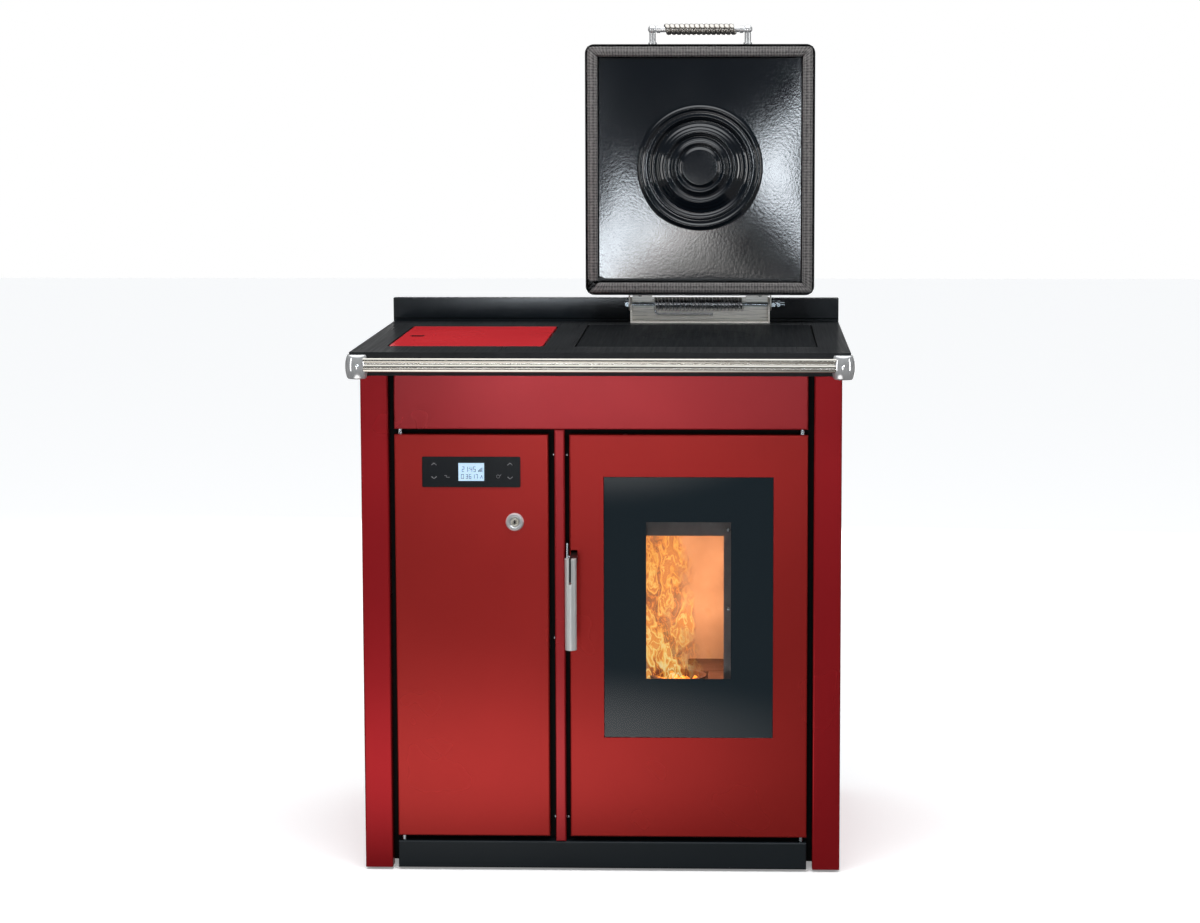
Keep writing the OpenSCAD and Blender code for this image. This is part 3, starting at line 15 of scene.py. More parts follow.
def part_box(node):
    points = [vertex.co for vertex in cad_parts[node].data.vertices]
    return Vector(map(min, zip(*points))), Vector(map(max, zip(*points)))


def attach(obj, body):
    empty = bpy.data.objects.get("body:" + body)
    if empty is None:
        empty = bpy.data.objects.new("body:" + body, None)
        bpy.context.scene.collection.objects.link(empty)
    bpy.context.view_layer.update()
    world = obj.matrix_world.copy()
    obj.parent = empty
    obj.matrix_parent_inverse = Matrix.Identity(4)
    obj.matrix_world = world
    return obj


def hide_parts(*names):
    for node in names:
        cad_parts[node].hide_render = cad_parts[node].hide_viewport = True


bl_info = {
    "name": "Pellet Range Cooker",
    "version": (1, 0, 0),
    "blender": (4, 5, 0),
    "location": "View3D > Sidebar > Cooker",
    "description": "Dresses the range cooker's solids with sheet metal, enamel, steel, rope and fire",
    "category": "Add Mesh",
}

MM = 0.001
FRONT = Vector((0, -1, 0))

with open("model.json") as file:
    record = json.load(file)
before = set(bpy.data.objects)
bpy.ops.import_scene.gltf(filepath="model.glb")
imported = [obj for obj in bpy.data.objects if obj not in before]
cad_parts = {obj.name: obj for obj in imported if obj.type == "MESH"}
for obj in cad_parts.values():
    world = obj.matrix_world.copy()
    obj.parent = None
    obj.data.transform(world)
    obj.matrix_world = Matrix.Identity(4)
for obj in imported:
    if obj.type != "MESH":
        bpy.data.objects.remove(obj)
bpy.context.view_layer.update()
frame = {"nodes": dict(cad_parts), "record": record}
RECORD = frame["record"]
BODY_OF = {node: body for body, nodes in RECORD["behaviour"]["bodies"].items() for node in nodes}
SLOT_OF = {row["node"]: row["material_slot"] for row in RECORD["subparts"]}
FINISH = {}


def low(node):
    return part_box(node)[0]


def high(node):
    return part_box(node)[1]


def middle(node):
    return (low(node) + high(node)) / 2


# ---------------------------------------------------------------- node groups


FLOAT, COLOUR, VECTOR = "NodeSocketFloat", "NodeSocketColor", "NodeSocketVector"


def rgba(value):
    """A colour of three numbers gets its alpha; anything else stays as it is."""
    return (*value, 1) if isinstance(value, tuple) and len(value) == 3 else value


class Maker:
    """Adds nodes to a shader tree. What goes into a node is a value or another node's output."""

    def __init__(self, tree):
        self.tree = tree

    def node(self, kind, links=(), **settings):
        """A node with its settings; links is a list of (input name or number, output or value)."""
        node = self.tree.nodes.new("ShaderNode" + kind)
        for key, value in settings.items():
            setattr(node, key, value)
        for key, value in links:
            if isinstance(value, bpy.types.NodeSocket):
                self.tree.links.new(value, node.inputs[key])
            else:
                node.inputs[key].default_value = value
        return node

    def math(self, kind, *values, **settings):
        return self.node("Math", enumerate(values), operation=kind, **settings).outputs[0]

    def vector(self, kind, *values):
        return self.node("VectorMath", enumerate(values), operation=kind).outputs[0]

    def span(self, value, lo, hi, to_lo=0.0, to_hi=1.0, **settings):
        """Stretches a value from lo..hi to to_lo..to_hi."""
        ends = [("Value", value), ("From Min", lo), ("From Max", hi), ("To Min", to_lo), ("To Max", to_hi)]
        return self.node("MapRange", ends, **settings).outputs[0]

    def place(self):
        """Coordinates in the piece's own frame, in metres."""
        return self.node("TexCoord").outputs["Object"]

    def noise(self, scale, detail, roughness=0.5, place=None):
        return self.node("TexNoise", [("Vector", place or self.place()), ("Scale", scale), ("Detail", detail),
                                      ("Roughness", roughness)]).outputs[0]

    def blend(self, mask, dark, light):
        """Two colours, mixed; a Mix node's colour sockets come after its float and vector ones."""
        return self.node("Mix", [(0, mask), (6, dark), (7, light)], data_type="RGBA").outputs[2]


class Group(Maker):
    """A shader node group in the making, with named inputs and outputs."""

    def __init__(self, name, inputs, outputs):
        super().__init__(bpy.data.node_groups.new(name, "ShaderNodeTree"))
        for label, kind, value in inputs:
            socket = self.tree.interface.new_socket(name=label, in_out="INPUT", socket_type=kind)
            socket.default_value = value
        for label, kind in outputs:
            self.tree.interface.new_socket(name=label, in_out="OUTPUT", socket_type=kind)
        self.given = self.tree.nodes.new("NodeGroupInput").outputs
        self.made = self.tree.nodes.new("NodeGroupOutput").inputs

    def out(self, label, socket):
        self.tree.links.new(socket, self.made[label])

    def vary(self, mask):
        """The given roughness, less its spread where the mask is dark and more where it is bright."""
        level, spread = self.given["Roughness"], self.given["Spread"]
        return self.span(mask, 0.3, 0.7, self.math("SUBTRACT", level, spread), self.math("ADD", level, spread))


def make_mottle():
    """Clouds of a light and a dark colour."""
    g = Group("Mottle", [("Light", COLOUR, (0.5, 0.5, 0.5, 1)), ("Dark", COLOUR, (0.4, 0.4, 0.4, 1)),
                         ("Scale", FLOAT, 6.0), ("Sharpness", FLOAT, 0.5)], [("Colour", COLOUR)])
    edge = g.math("SUBTRACT", 0.5, g.given["Sharpness"])
    mask = g.span(g.noise(g.given["Scale"], 4.0), edge, g.math("SUBTRACT", 1.0, edge))
    g.out("Colour", g.blend(mask, g.given["Dark"], g.given["Light"]))
    return g.tree


def make_peel():
    """The ripple of sprayed paint and fired enamel."""
    g = Group("Orange Peel", [("Scale", FLOAT, 300.0), ("Fine", FLOAT, 0.3)], [("Height", FLOAT)])
    fine = g.noise(g.math("MULTIPLY", g.given["Scale"], 3.7), 1.0)
    g.out("Height", g.math("ADD", g.noise(g.given["Scale"], 1.0), g.math("MULTIPLY", fine, g.given["Fine"])))
    return g.tree


def make_brushing():
    """Brushed lines, drawn out along the axis with the least stretch."""
    g = Group("Brushed Grain",
              [("Stretch", VECTOR, (4.0, 900.0, 900.0)), ("Roughness", FLOAT, 0.3), ("Spread", FLOAT, 0.12)],
              [("Height", FLOAT), ("Roughness", FLOAT), ("Shade", FLOAT)])
    lines = g.noise(1.0, 3.0, 0.7, g.vector("MULTIPLY", g.place(), g.given["Stretch"]))
    g.out("Height", lines)
    g.out("Roughness", g.vary(lines))
    g.out("Shade", g.span(lines, 0.25, 0.75))
    return g.tree


def make_cast_skin():
    """Grit and pits of a sand casting."""
    g = Group("Cast Skin", [("Scale", FLOAT, 900.0)], [("Height", FLOAT), ("Shade", FLOAT)])
    wide = g.math("MULTIPLY", g.given["Scale"], 0.18)
    pits = g.node("TexVoronoi", [("Vector", g.place()), ("Scale", wide)]).outputs[0]
    g.out("Height", g.math("ADD", g.noise(g.given["Scale"], 5.0, 0.6), pits))
    g.out("Shade", g.span(g.noise(14.0, 3.0), 0.3, 0.7))
    return g.tree


def make_smudges():
    """Roughness that wanders a little, as handled paint and metal do."""
    g = Group("Smudges", [("Roughness", FLOAT, 0.4), ("Spread", FLOAT, 0.05), ("Scale", FLOAT, 5.0)],
              [("Roughness", FLOAT)])
    g.out("Roughness", g.vary(g.noise(g.given["Scale"], 3.0)))
    return g.tree


def make_weave():
    """Braid of a rope seal, on the piece's own UV map: U runs along the rope in metres, V round it."""
    g = Group("Rope Braid", [("Along", FLOAT, 330.0), ("Around", FLOAT, 14.0)], [("Height", FLOAT), ("Groove_shade_and_fuzz", FLOAT)])
    parts = g.node("SeparateXYZ", [(0, g.node("UVMap", uv_map="rope").outputs[0])]).outputs
    u = g.math("MULTIPLY", parts[0], g.given["Along"])
    v = g.math("MULTIPLY", parts[1], g.given["Around"])
    waves = [g.math("SINE", g.math("MULTIPLY", g.math(kind, u, v), math.pi)) for kind in ("ADD", "SUBTRACT")]
    braid = g.span(g.math("MULTIPLY", *waves), -1.0, 1.0)
    fuzz = g.math("MULTIPLY", g.noise(230.0, 4.0, 0.7), 1.9)
    total = g.math("ADD", braid, fuzz)
    g.out("Height", total)
    # darker where the braid is low: painted shade in its grooves, with random fuzz in the tone
    g.out("Groove_shade_and_fuzz", g.span(total, 0.95, 1.95))
    return g.tree


FIRE_SHADES = ((0.0, (0.13, 0.020, 0.003)), (0.20, (0.38, 0.075, 0.008)), (0.40, (0.78, 0.23, 0.022)),
               (0.60, (0.97, 0.45, 0.055)), (0.80, (1.0, 0.78, 0.23)), (1.0, (1.0, 0.96, 0.62)))


def make_flames():
    """Flames on a sheet's own UV map: U across, V up. Ridges of bent noise, bright at their crests."""
    g = Group("Flames", [("Seed", FLOAT, 0.0), ("Lick", FLOAT, 1.0)], [("Colour", COLOUR), ("Mask", FLOAT)])
    tongues_across, tongues_up, bending = 6.4, 6.6, 2.7
    crest_share, body_share = 0.62, 0.42
    right_edge, lean, sway = 0.56, -0.10, 1.1
    most_cover = 0.5

    parts = g.node("SeparateXYZ", [(0, g.node("UVMap", uv_map="flame").outputs[0])]).outputs
    across, up = parts[0], parts[1]
    tall = g.node("CombineXYZ", [(0, g.math("MULTIPLY", across, tongues_across)),
                                 (1, g.math("MULTIPLY", up, tongues_up)), (2, g.given["Seed"])]).outputs[0]
    shift = g.vector("SUBTRACT", g.noise(0.9, 2.0, place=tall).node.outputs["Color"], (0.5, 0.5, 0.5))
    far = g.node("VectorMath", [(0, shift), ("Scale", bending)], operation="SCALE").outputs[0]
    bent = g.vector("ADD", tall, far)

    def crests(wave, thinness):
        """Bright lines where a wave passes its middle."""
        off = g.math("ABSOLUTE", g.math("SUBTRACT", wave, 0.5))
        return g.math("MAXIMUM", g.math("SUBTRACT", 1.0, g.math("MULTIPLY", off, thinness)), 0.0)

    folds, wisps = g.noise(0.75, 2.0, 0.45, bent), g.noise(1.9, 2.0, 0.5, bent)
    sharp = g.math("MAXIMUM", crests(folds, 19.0), g.math("MULTIPLY", crests(wisps, 16.0), 0.75))
    body = g.span(folds, 0.41, 0.59)
    strength = g.math("ADD", g.math("MULTIPLY", sharp, crest_share), g.math("MULTIPLY", body, body_share))

    # the fire leans: its right edge wanders inwards and thins out towards the top
    wander = g.math("MULTIPLY", g.math("SUBTRACT", g.noise(0.7, 3.0, place=tall), 0.5), sway)
    edge = g.math("SUBTRACT", g.math("ADD", g.math("MULTIPLY", up, lean), wander),
                  g.math("SUBTRACT", across, right_edge))
    inside = g.math("MULTIPLY", g.span(edge, -0.03, 0.20), g.span(up, 1.0, 0.70))
    inside = g.math("MULTIPLY", inside, g.given["Lick"])

    heat = g.math("MULTIPLY", strength, g.span(up, 0.9, 0.0, 0.66, 1.16))
    shades = g.node("ValToRGB", [(0, heat)])
    stops = shades.color_ramp.elements
    while len(stops) < len(FIRE_SHADES):
        stops.new(0.5)
    for stop, (position, shade) in zip(stops, FIRE_SHADES):
        stop.position, stop.color = position, rgba(shade)
    g.out("Colour", shades.outputs[0])
    cover = g.math("MULTIPLY", g.span(strength, -1.1, 0.10), inside)
    g.out("Mask", g.math("MULTIPLY", cover, most_cover, use_clamp=True))
    return g.tree


GROUP_MAKERS = {"mottle": make_mottle, "peel": make_peel, "brushing": make_brushing, "cast_skin": make_cast_skin,
                "smudges": make_smudges, "weave": make_weave, "flames": make_flames}
GROUPS = {}


# ---------------------------------------------------------------- finishes


class Finish(Maker):
    """A material in the making: constants go straight on the shader, groups feed what changes over it."""

    def __init__(self, name, **constants):
        FINISH[name] = self.material = bpy.data.materials.new(name)
        self.material.use_nodes = True
        super().__init__(self.material.node_tree)
        self.shader = self.tree.nodes["Principled BSDF"]
        for key, value in constants.items():
            self.shader.inputs[key.replace("_", " ")].default_value = rgba(value)

    def group(self, name, **values):
        """Places a node group with its own values; gives back its outputs."""
        node = self.node("Group", node_tree=GROUPS[name])
        for key, value in values.items():
            node.inputs[key].default_value = value if key == "Stretch" else rgba(value)
        return node.outputs

    def feed(self, label, socket):
        self.tree.links.new(socket, self.shader.inputs[label])

    def bump(self, height, strength, distance):
        links = [("Strength", strength), ("Distance", distance), ("Height", height)]
        self.feed("Normal", self.node("Bump", links).outputs[0])

    def colour(self, light, dark, scale, *labels, sharpness=0.25):
        mottle = self.group("mottle", Light=light, Dark=dark, Scale=scale, Sharpness=sharpness)
        for label in labels or ("Base Color",):
            self.feed(label, mottle["Colour"])

    def shades(self, mask, light, dark):
        self.feed("Base Color", self.blend(mask, rgba(dark), rgba(light)))

    def peel(self, scale, strength, distance=0.0002, fine=0.3):
        self.bump(self.group("peel", Scale=scale, Fine=fine)[0], strength, distance)

    def smudge(self, roughness, spread, scale=5.0):
        self.feed("Roughness", self.group("smudges", Roughness=roughness, Spread=spread, Scale=scale)[0])

    def brush(self, stretch, roughness, spread, strength, distance):
        """Brushed lines in the roughness and the surface; gives back their light and dark."""
        grain = self.group("brushing", Stretch=stretch, Roughness=roughness, Spread=spread)
        self.feed("Roughness", grain["Roughness"])
        self.bump(grain["Height"], strength, distance)
        return grain["Shade"]


def painted(name, light, dark, roughness, peel=700.0, strength=0.06, **constants):
    f = Finish(name, **constants)
    f.colour(light, dark, 4.0)
    f.smudge(roughness, 0.02)
    f.peel(peel, strength)


def bare_metal(name, light, dark, roughness, stretch, strength, spread=0.08, metallic=1.0):
    f = Finish(name, Metallic=metallic)
    f.shades(f.brush(stretch, roughness, spread, strength, 0.0001), light, dark)


def smooth_metal(name, light, dark, roughness, spread=0.03, metallic=1.0):
    f = Finish(name, Metallic=metallic)
    f.colour(light, dark, 30.0)
    f.smudge(roughness, spread, 40.0)
    f.peel(500.0, 0.02, 0.0001)


def cast(name, light, dark, roughness, scale=900.0, strength=0.25, distance=0.0003, metallic=0.0):
    f = Finish(name, Metallic=metallic)
    skin = f.group("cast_skin", Scale=scale)
    f.shades(skin["Shade"], light, dark)
    f.smudge(roughness, 0.06, 12.0)
    f.bump(skin["Height"], strength, distance)


def build_finishes(colours, stitch):
    body, door = tuple(colours.body_red), tuple(colours.door_red)
    # the hopper lid's copy of the body red is 1.4 times lighter: painted light, for the light falling on its top face
    for name, hue, level, metallic in (("red_paint", body, 0.5, 0.5), ("side_paint", body, 0.16, 0.5),
                                       ("lid_paint_painted_lighter", tuple(v * 1.4 for v in body), 0.2, 0.0),
                                       ("door_red_paint", door, 0.22, 0.5)):
        painted(name, hue, tuple(v * 0.9 for v in hue), 0.26, Specular_IOR_Level=level, Metallic=metallic)
    painted("grey_paint", (0.15, 0.155, 0.16), (0.12, 0.125, 0.13), 0.5)
    painted("black_paint", (0.004, 0.004, 0.004), (0.002, 0.002, 0.002), 0.5, Specular_IOR_Level=0.12)
    painted("splash_paint", (0.006, 0.009, 0.012), (0.005, 0.007, 0.009), 0.12)
    painted("plinth_paint", (0.011, 0.016, 0.020), (0.008, 0.012, 0.015), 0.42, Specular_IOR_Level=0.3)
    painted("panel_black", (0.004, 0.006, 0.009), (0.003, 0.005, 0.007), 0.24, Specular_IOR_Level=0.22)
    painted("lever_black", (0.010, 0.010, 0.010), (0.006, 0.006, 0.006), 0.3)
    painted("socket_black", (0.015, 0.015, 0.015), (0.01, 0.01, 0.01), 0.45, 1500.0, 0.2)
    painted("motor_black", (0.02, 0.02, 0.022), (0.013, 0.013, 0.014), 0.42)
    painted("pump_red", (0.35, 0.02, 0.015), (0.26, 0.014, 0.012), 0.4)
    painted("vessel_red", (0.42, 0.015, 0.012), (0.33, 0.012, 0.010), 0.38)
    painted("boiler_steel", (0.055, 0.058, 0.062), (0.038, 0.04, 0.044), 0.55, 300.0, 0.12)
    painted("shell_enamel", (0.010, 0.012, 0.015), (0.007, 0.009, 0.011), 0.28, 260.0, 0.08)
    painted("screen_ink", (0.02, 0.05, 0.11), (0.015, 0.04, 0.09), 0.4)
    painted("icon_grey", (0.34, 0.34, 0.35), (0.28, 0.28, 0.29), 0.4, Specular_IOR_Level=0.3)
    painted("adhesive_black", (0.006, 0.006, 0.007), (0.002, 0.002, 0.002), 0.25, 500.0, 0.5)
    # no light reaches the print through the glass in a renderer without caustics, so it glows a dark blue of its own:
    # painted light in place of the light it doesn't get
    painted("glass_print", (0.006, 0.012, 0.017), (0.005, 0.010, 0.014), 0.5, 250.0, 0.02, Specular_IOR_Level=0.05,
            Emission_Color=(0.007, 0.0135, 0.0185), Emission_Strength=1.0)

    top = Finish("black_top", Specular_IOR_Level=0.17)
    top.colour((0.017, 0.018, 0.020), (0.010, 0.011, 0.012), 9.0)
    top.brush((240.0, 3.0, 60.0), 0.34, 0.07, 0.10, 0.0002)
    iron = Finish("hob_iron", Specular_IOR_Level=0.05)
    iron.colour((0.008, 0.009, 0.010), (0.005, 0.006, 0.007), 11.0)
    iron.brush((170.0, 5.0, 60.0), 0.48, 0.06, 0.05, 0.0002)

    cast("inner_iron", (0.045, 0.043, 0.042), (0.028, 0.027, 0.026), 0.6)
    cast("fire_steel", (0.05, 0.042, 0.036), (0.022, 0.018, 0.016), 0.7, 500.0)
    # painted shade: a dark red-brown for the ledge and the burn pot, which lie in shadow beside the fire
    cast("ledge_painted_shade", (0.10, 0.055, 0.04), (0.04, 0.02, 0.015), 0.8, 300.0)
    cast("cast_alloy", (0.44, 0.44, 0.44), (0.36, 0.36, 0.37), 0.42, strength=0.15, metallic=0.9)
    cast("fire_clay", (0.46, 0.36, 0.27), (0.33, 0.25, 0.18), 0.85, 350.0, 0.4, 0.0008)

    bare_metal("stainless", (0.60, 0.575, 0.52), (0.57, 0.545, 0.495), 0.24, (2.0, 500.0, 500.0), 0.006, 0.015)
    bare_metal("bracket_steel", (0.84, 0.81, 0.75), (0.76, 0.73, 0.68), 0.3, (12.0, 900.0, 900.0), 0.02, metallic=0.4)
    bare_metal("grip_steel", (0.80, 0.81, 0.80), (0.73, 0.74, 0.73), 0.36, (900.0, 900.0, 6.0), 0.02, metallic=0.5)
    bare_metal("galvanised", (0.60, 0.61, 0.62), (0.42, 0.43, 0.44), 0.42, (60.0, 60.0, 60.0), 0.05)
    smooth_metal("chrome", (0.86, 0.87, 0.88), (0.78, 0.79, 0.80), 0.07, 0.02, metallic=0.6)
    smooth_metal("spring_steel", (0.58, 0.59, 0.61), (0.46, 0.47, 0.49), 0.15)
    smooth_metal("grip_coil", (0.62, 0.585, 0.54), (0.50, 0.47, 0.43), 0.24)
    smooth_metal("zinc", (0.62, 0.68, 0.72), (0.48, 0.55, 0.60), 0.26)
    smooth_metal("clip_steel", (0.22, 0.21, 0.215), (0.15, 0.145, 0.15), 0.45)
    smooth_metal("key_barrel", (0.62, 0.59, 0.52), (0.50, 0.47, 0.40), 0.30)

    enamel = Finish("enamel", Specular_IOR_Level=1.0)
    enamel.colour((0.0022, 0.0048, 0.0085), (0.0014, 0.0034, 0.0062), 5.0)
    enamel.smudge(0.115, 0.02, 9.0)
    enamel.peel(240.0, 0.16, 0.0004, 0.12)

    for name, light, dark in (("rope", (0.22, 0.21, 0.205), (0.05, 0.047, 0.048)),
                              ("door_rope", (0.62, 0.60, 0.55), (0.34, 0.32, 0.29))):
        rope = Finish(name, Roughness=0.9, Sheen_Weight=0.25, Sheen_Roughness=0.5)
        braid = rope.group("weave", Along=1 / stitch, Around=11.0)
        # light on the raised strands and dark between them: painted shade in the braid's grooves, with random fuzz
        rope.shades(braid["Groove_shade_and_fuzz"], light, dark)
        rope.bump(braid["Height"], 0.6, 0.0006)

    rubber = Finish("lid_rubber", Specular_IOR_Level=0.3)
    rubber.colour((0.018, 0.018, 0.018), (0.011, 0.011, 0.011), 30.0)
    rubber.smudge(0.6, 0.05, 30.0)
    rubber.peel(900.0, 0.15)

    glass = Finish("door_glass", Roughness=0.02, IOR=1.47, Transmission_Weight=1.0, Base_Color=(0.93, 0.93, 0.92),
                   Specular_IOR_Level=0.25)
    glass.smudge(0.02, 0.008, 14.0)

    screen = Finish("screen", Roughness=0.3, Emission_Strength=0.50)
    screen.colour((0.62, 0.80, 0.93), (0.45, 0.66, 0.84), 28.0, "Base Color", "Emission Color", sharpness=0.3)

    for name, seed, lick, strength in (("flame", 0.0, 1.0, 1.3), ("flame_haze", 7.3, 0.55, 0.8)):
        fire = Finish(name, Roughness=1.0, Specular_IOR_Level=0.0, Base_Color=(0.0, 0.0, 0.0),
                      Emission_Strength=strength)
        sheet = fire.group("flames", Seed=seed, Lick=lick)
        fire.feed("Emission Color", sheet["Colour"])
        fire.feed("Alpha", sheet["Mask"])
    ember = Finish("ember", Roughness=0.9, Emission_Strength=2.4)
    ember.colour((1.0, 0.33, 0.04), (0.10, 0.006, 0.001), 90.0, "Base Color", "Emission Color", sharpness=0.3)


# ---------------------------------------------------------------- making pieces


def put(name, bm, body, slot, finish=None, replaces=(), crease=None, bevel=0.0, segments=2, weld=True):
    """Ends a bmesh as a named piece that rides on a body; crease is the angle in degrees left sharp."""
    if weld:
        bmesh.ops.remove_doubles(bm, verts=bm.verts, dist=1e-6)
        bmesh.ops.recalc_face_normals(bm, faces=bm.faces)
    for face in bm.faces:
        face.smooth = True
    if crease is not None:
        mark_creases(bm, math.radians(crease))
    mesh = bpy.data.meshes.new(name)
    bm.to_mesh(mesh)
    bm.free()
    mesh.materials.append(FINISH[finish or slot])
    # a copy of a solid brings the solid's own normals, which would undo the smooth shading
    if "custom_normal" in mesh.attributes:
        mesh.attributes.remove(mesh.attributes["custom_normal"])
    piece = bpy.data.objects.new(name, mesh)
    bpy.context.scene.collection.objects.link(piece)
    if bevel:
        soft = piece.modifiers.new("Soft edges", "BEVEL")
        soft.width = bevel
        soft.segments = segments
        soft.limit_method = "ANGLE"
        soft.angle_limit = math.radians(38)
        soft.use_clamp_overlap = False
        soft.harden_normals = True
    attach(piece, body)
    if replaces:
        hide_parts(*replaces)
    return piece


def mark_creases(bm, angle):
    """Sharp where faces meet at more than the angle, and round wide flat faces, so that folds don't shade them."""
    least_bend, times_larger, wide = math.radians(0.6), 12, 2e-4
    areas = {face: face.calc_area() for face in bm.faces}
    for edge in bm.edges:
        if len(edge.link_faces) == 2:
            bend = edge.calc_face_angle(0.0)
            small, large = sorted(areas[face] for face in edge.link_faces)
            flat_rim = bend > least_bend and large > times_larger * small and large > wide
            edge.smooth = not (bend > angle or flat_rim)


def soften(node, bevel=0.0004, segments=2, finish=None):
    """A welded copy of a solid with softly rounded edges, which stands for it."""
    bm = bmesh.new()
    bm.from_mesh(frame["nodes"][node].data)
    bmesh.ops.remove_doubles(bm, verts=bm.verts, dist=4e-6)
    bmesh.ops.dissolve_limit(bm, angle_limit=math.radians(0.4), verts=bm.verts, edges=bm.edges,
                             use_dissolve_boundaries=False, delimit={"NORMAL"})
    return put(node + "_dressed", bm, BODY_OF[node], SLOT_OF[node], finish=finish, replaces=(node,),
               crease=38, bevel=bevel, segments=segments, weld=False)


def verts_of(parts):
    return [part for part in parts if isinstance(part, bmesh.types.BMVert)]


def edges_of(parts):
    return [part for part in parts if isinstance(part, bmesh.types.BMEdge)]


def open_edges(bm):
    return [edge for edge in bm.edges if edge.is_boundary]


def add_box(bm, lo, hi):
    lo, hi = Vector(lo), Vector(hi)
    made = bmesh.ops.create_cube(bm, size=1.0)["verts"]
    bmesh.ops.scale(bm, vec=hi - lo, verts=made)
    bmesh.ops.translate(bm, vec=(lo + hi) / 2, verts=made)


def add_bar(bm, centre, axes, size):
    """A box of a size along three axes, round its centre."""
    made = bmesh.ops.create_cube(bm, size=1.0)["verts"]
    turn = Matrix(axes).transposed().to_4x4()
    bmesh.ops.transform(bm, verts=made, matrix=Matrix.Translation(centre) @ turn @ Matrix.Diagonal((*size, 1)))


def lathe(bm, profile, centre, axis, steps):
    """Spins a profile of (radius, height) pairs all round an axis through centre."""
    axis, centre = Vector(axis).normalized(), Vector(centre)
    turn = Vector((0, 0, 1)).rotation_difference(axis)
    verts = [bm.verts.new(centre + turn @ Vector((r, 0, h))) for r, h in profile]
    edges = [bm.edges.new(pair) for pair in zip(verts, verts[1:])]
    bmesh.ops.spin(bm, geom=verts + edges, cent=centre, axis=axis, angle=2 * math.pi, steps=steps,
                   use_merge=True, use_duplicate=False)


def extrude_profile(bm, points, along):
    """A closed outline of points, filled and drawn out along a vector."""
    face = bm.faces.new([bm.verts.new(p) for p in points])
    grown = bmesh.ops.extrude_face_region(bm, geom=[face])["geom"]
    bmesh.ops.translate(bm, vec=Vector(along), verts=verts_of(grown))


def wire_ring(bm, sides, radius, place):
    """The first ring of a wire: its vertices and its edges."""
    ring = bmesh.ops.create_circle(bm, cap_ends=False, segments=sides, radius=radius, matrix=place)["verts"]
    return ring, list({e for v in ring for e in v.link_edges})


def draw_on(bm, edges, was, now, turn):
    """Extrudes a ring of edges from one point of its path to the next; gives back the new ring's edges."""
    made = bmesh.ops.extrude_edge_only(bm, edges=edges)["geom"]
    move = Matrix.Translation(now) @ turn.to_matrix().to_4x4() @ Matrix.Translation(-was)
    bmesh.ops.transform(bm, matrix=move, verts=verts_of(made))
    return edges_of(made)


def wire_loop(bm, path, sides, radius):
    """A round wire along a closed path."""
    path = [Vector(p) for p in path]
    headings = [(path[(i + 1) % len(path)] - path[i - 1]).normalized() for i in range(len(path))]
    turn = Vector((0, 0, 1)).rotation_difference(headings[0]).to_matrix().to_4x4()
    first = edges = wire_ring(bm, sides, radius, Matrix.Translation(path[0]) @ turn)[1]
    for i in range(1, len(path)):
        edges = draw_on(bm, edges, path[i - 1], path[i], headings[i - 1].rotation_difference(headings[i]))
    bmesh.ops.bridge_loops(bm, edges=edges + first)


def wire_end(bm, edges, points):
    """Draws a ring of edges along points, turning it with the path; gives back the last ring's edges."""
    points = [Vector(p) for p in points]
    for i in range(1, len(points)):
        here = points[i] - points[i - 1]
        was = points[i - 1] - points[i - 2] + here if i > 1 else here
        after = points[min(i + 1, len(points) - 1)] - points[i - 1]
        turn = was.normalized().rotation_difference(after.normalized())
        edges = draw_on(bm, edges, points[i - 1], points[i], turn)
    return edges


def coil(bm, start, radius, wire, pitch, turns, sides, spread=1.0):
    """A helix along X that starts behind its axis; gives back the first and the last ring's edges."""
    start, per_turn = Vector(start), 28
    place = Matrix.Translation(start + Vector((0, radius, 0))) @ Matrix.Diagonal((spread, 1, 1, 1))
    ring, first = wire_ring(bm, sides, wire / 2, place)
    spun = bmesh.ops.spin(bm, geom=ring + first, cent=start, axis=(1, 0, 0), angle=turns * 2 * math.pi,
                          steps=turns * per_turn, dvec=(pitch / per_turn, 0, 0), use_duplicate=False)["geom_last"]
    return first, edges_of(spun)


def close_ends(bm, sides, *rings):
    for edges in rings:
        bmesh.ops.holes_fill(bm, edges=edges, sides=sides)


def screw_head(bm, centre, axis, radius):
    """A low round screw head with a cross on it, on a face."""
    axis, centre = Vector(axis).normalized(), Vector(centre)
    h = radius * 0.5
    profile = [(0.0001, h * 1.02), (radius * 0.4, h), (radius * 0.75, h * 0.78), (radius * 0.95, h * 0.36),
               (radius, 0), (radius * 0.98, -0.0004)]
    lathe(bm, profile, centre, axis, 20)
    side = axis.orthogonal().normalized()
    for quarter in range(2):
        arm = Matrix.Rotation(quarter * math.pi / 2, 3, axis) @ side
        add_bar(bm, centre + axis * h * 0.72, (arm, axis.cross(arm), axis), (radius * 1.1, radius * 0.26, h * 0.66))


# ---------------------------------------------------------------- the user's sizes and colours


class CookerSizes(bpy.types.PropertyGroup):
    """Sizes of the trim that the solids leave to the finish."""

    edge: bpy.props.FloatProperty(
        name="Soft edge", description="Rounding on the edges of sheet metal", default=0.0005, min=0.0001, max=0.001,
        unit="LENGTH", precision=4)
    rope_turn: bpy.props.FloatProperty(
        name="Braid pitch", description="Length of one stitch of the rope seals", default=0.0052, min=0.002, max=0.01,
        unit="LENGTH", precision=4)
    screw: bpy.props.FloatProperty(
        name="Screw head", description="Radius of the small cabinet screws", default=0.0022, min=0.0015, max=0.004,
        unit="LENGTH", precision=4)
    flame_height: bpy.props.FloatProperty(
        name="Flame height", description="Height of the fire above the burn pot", default=0.34, min=0.1, max=0.36,
        unit="LENGTH")


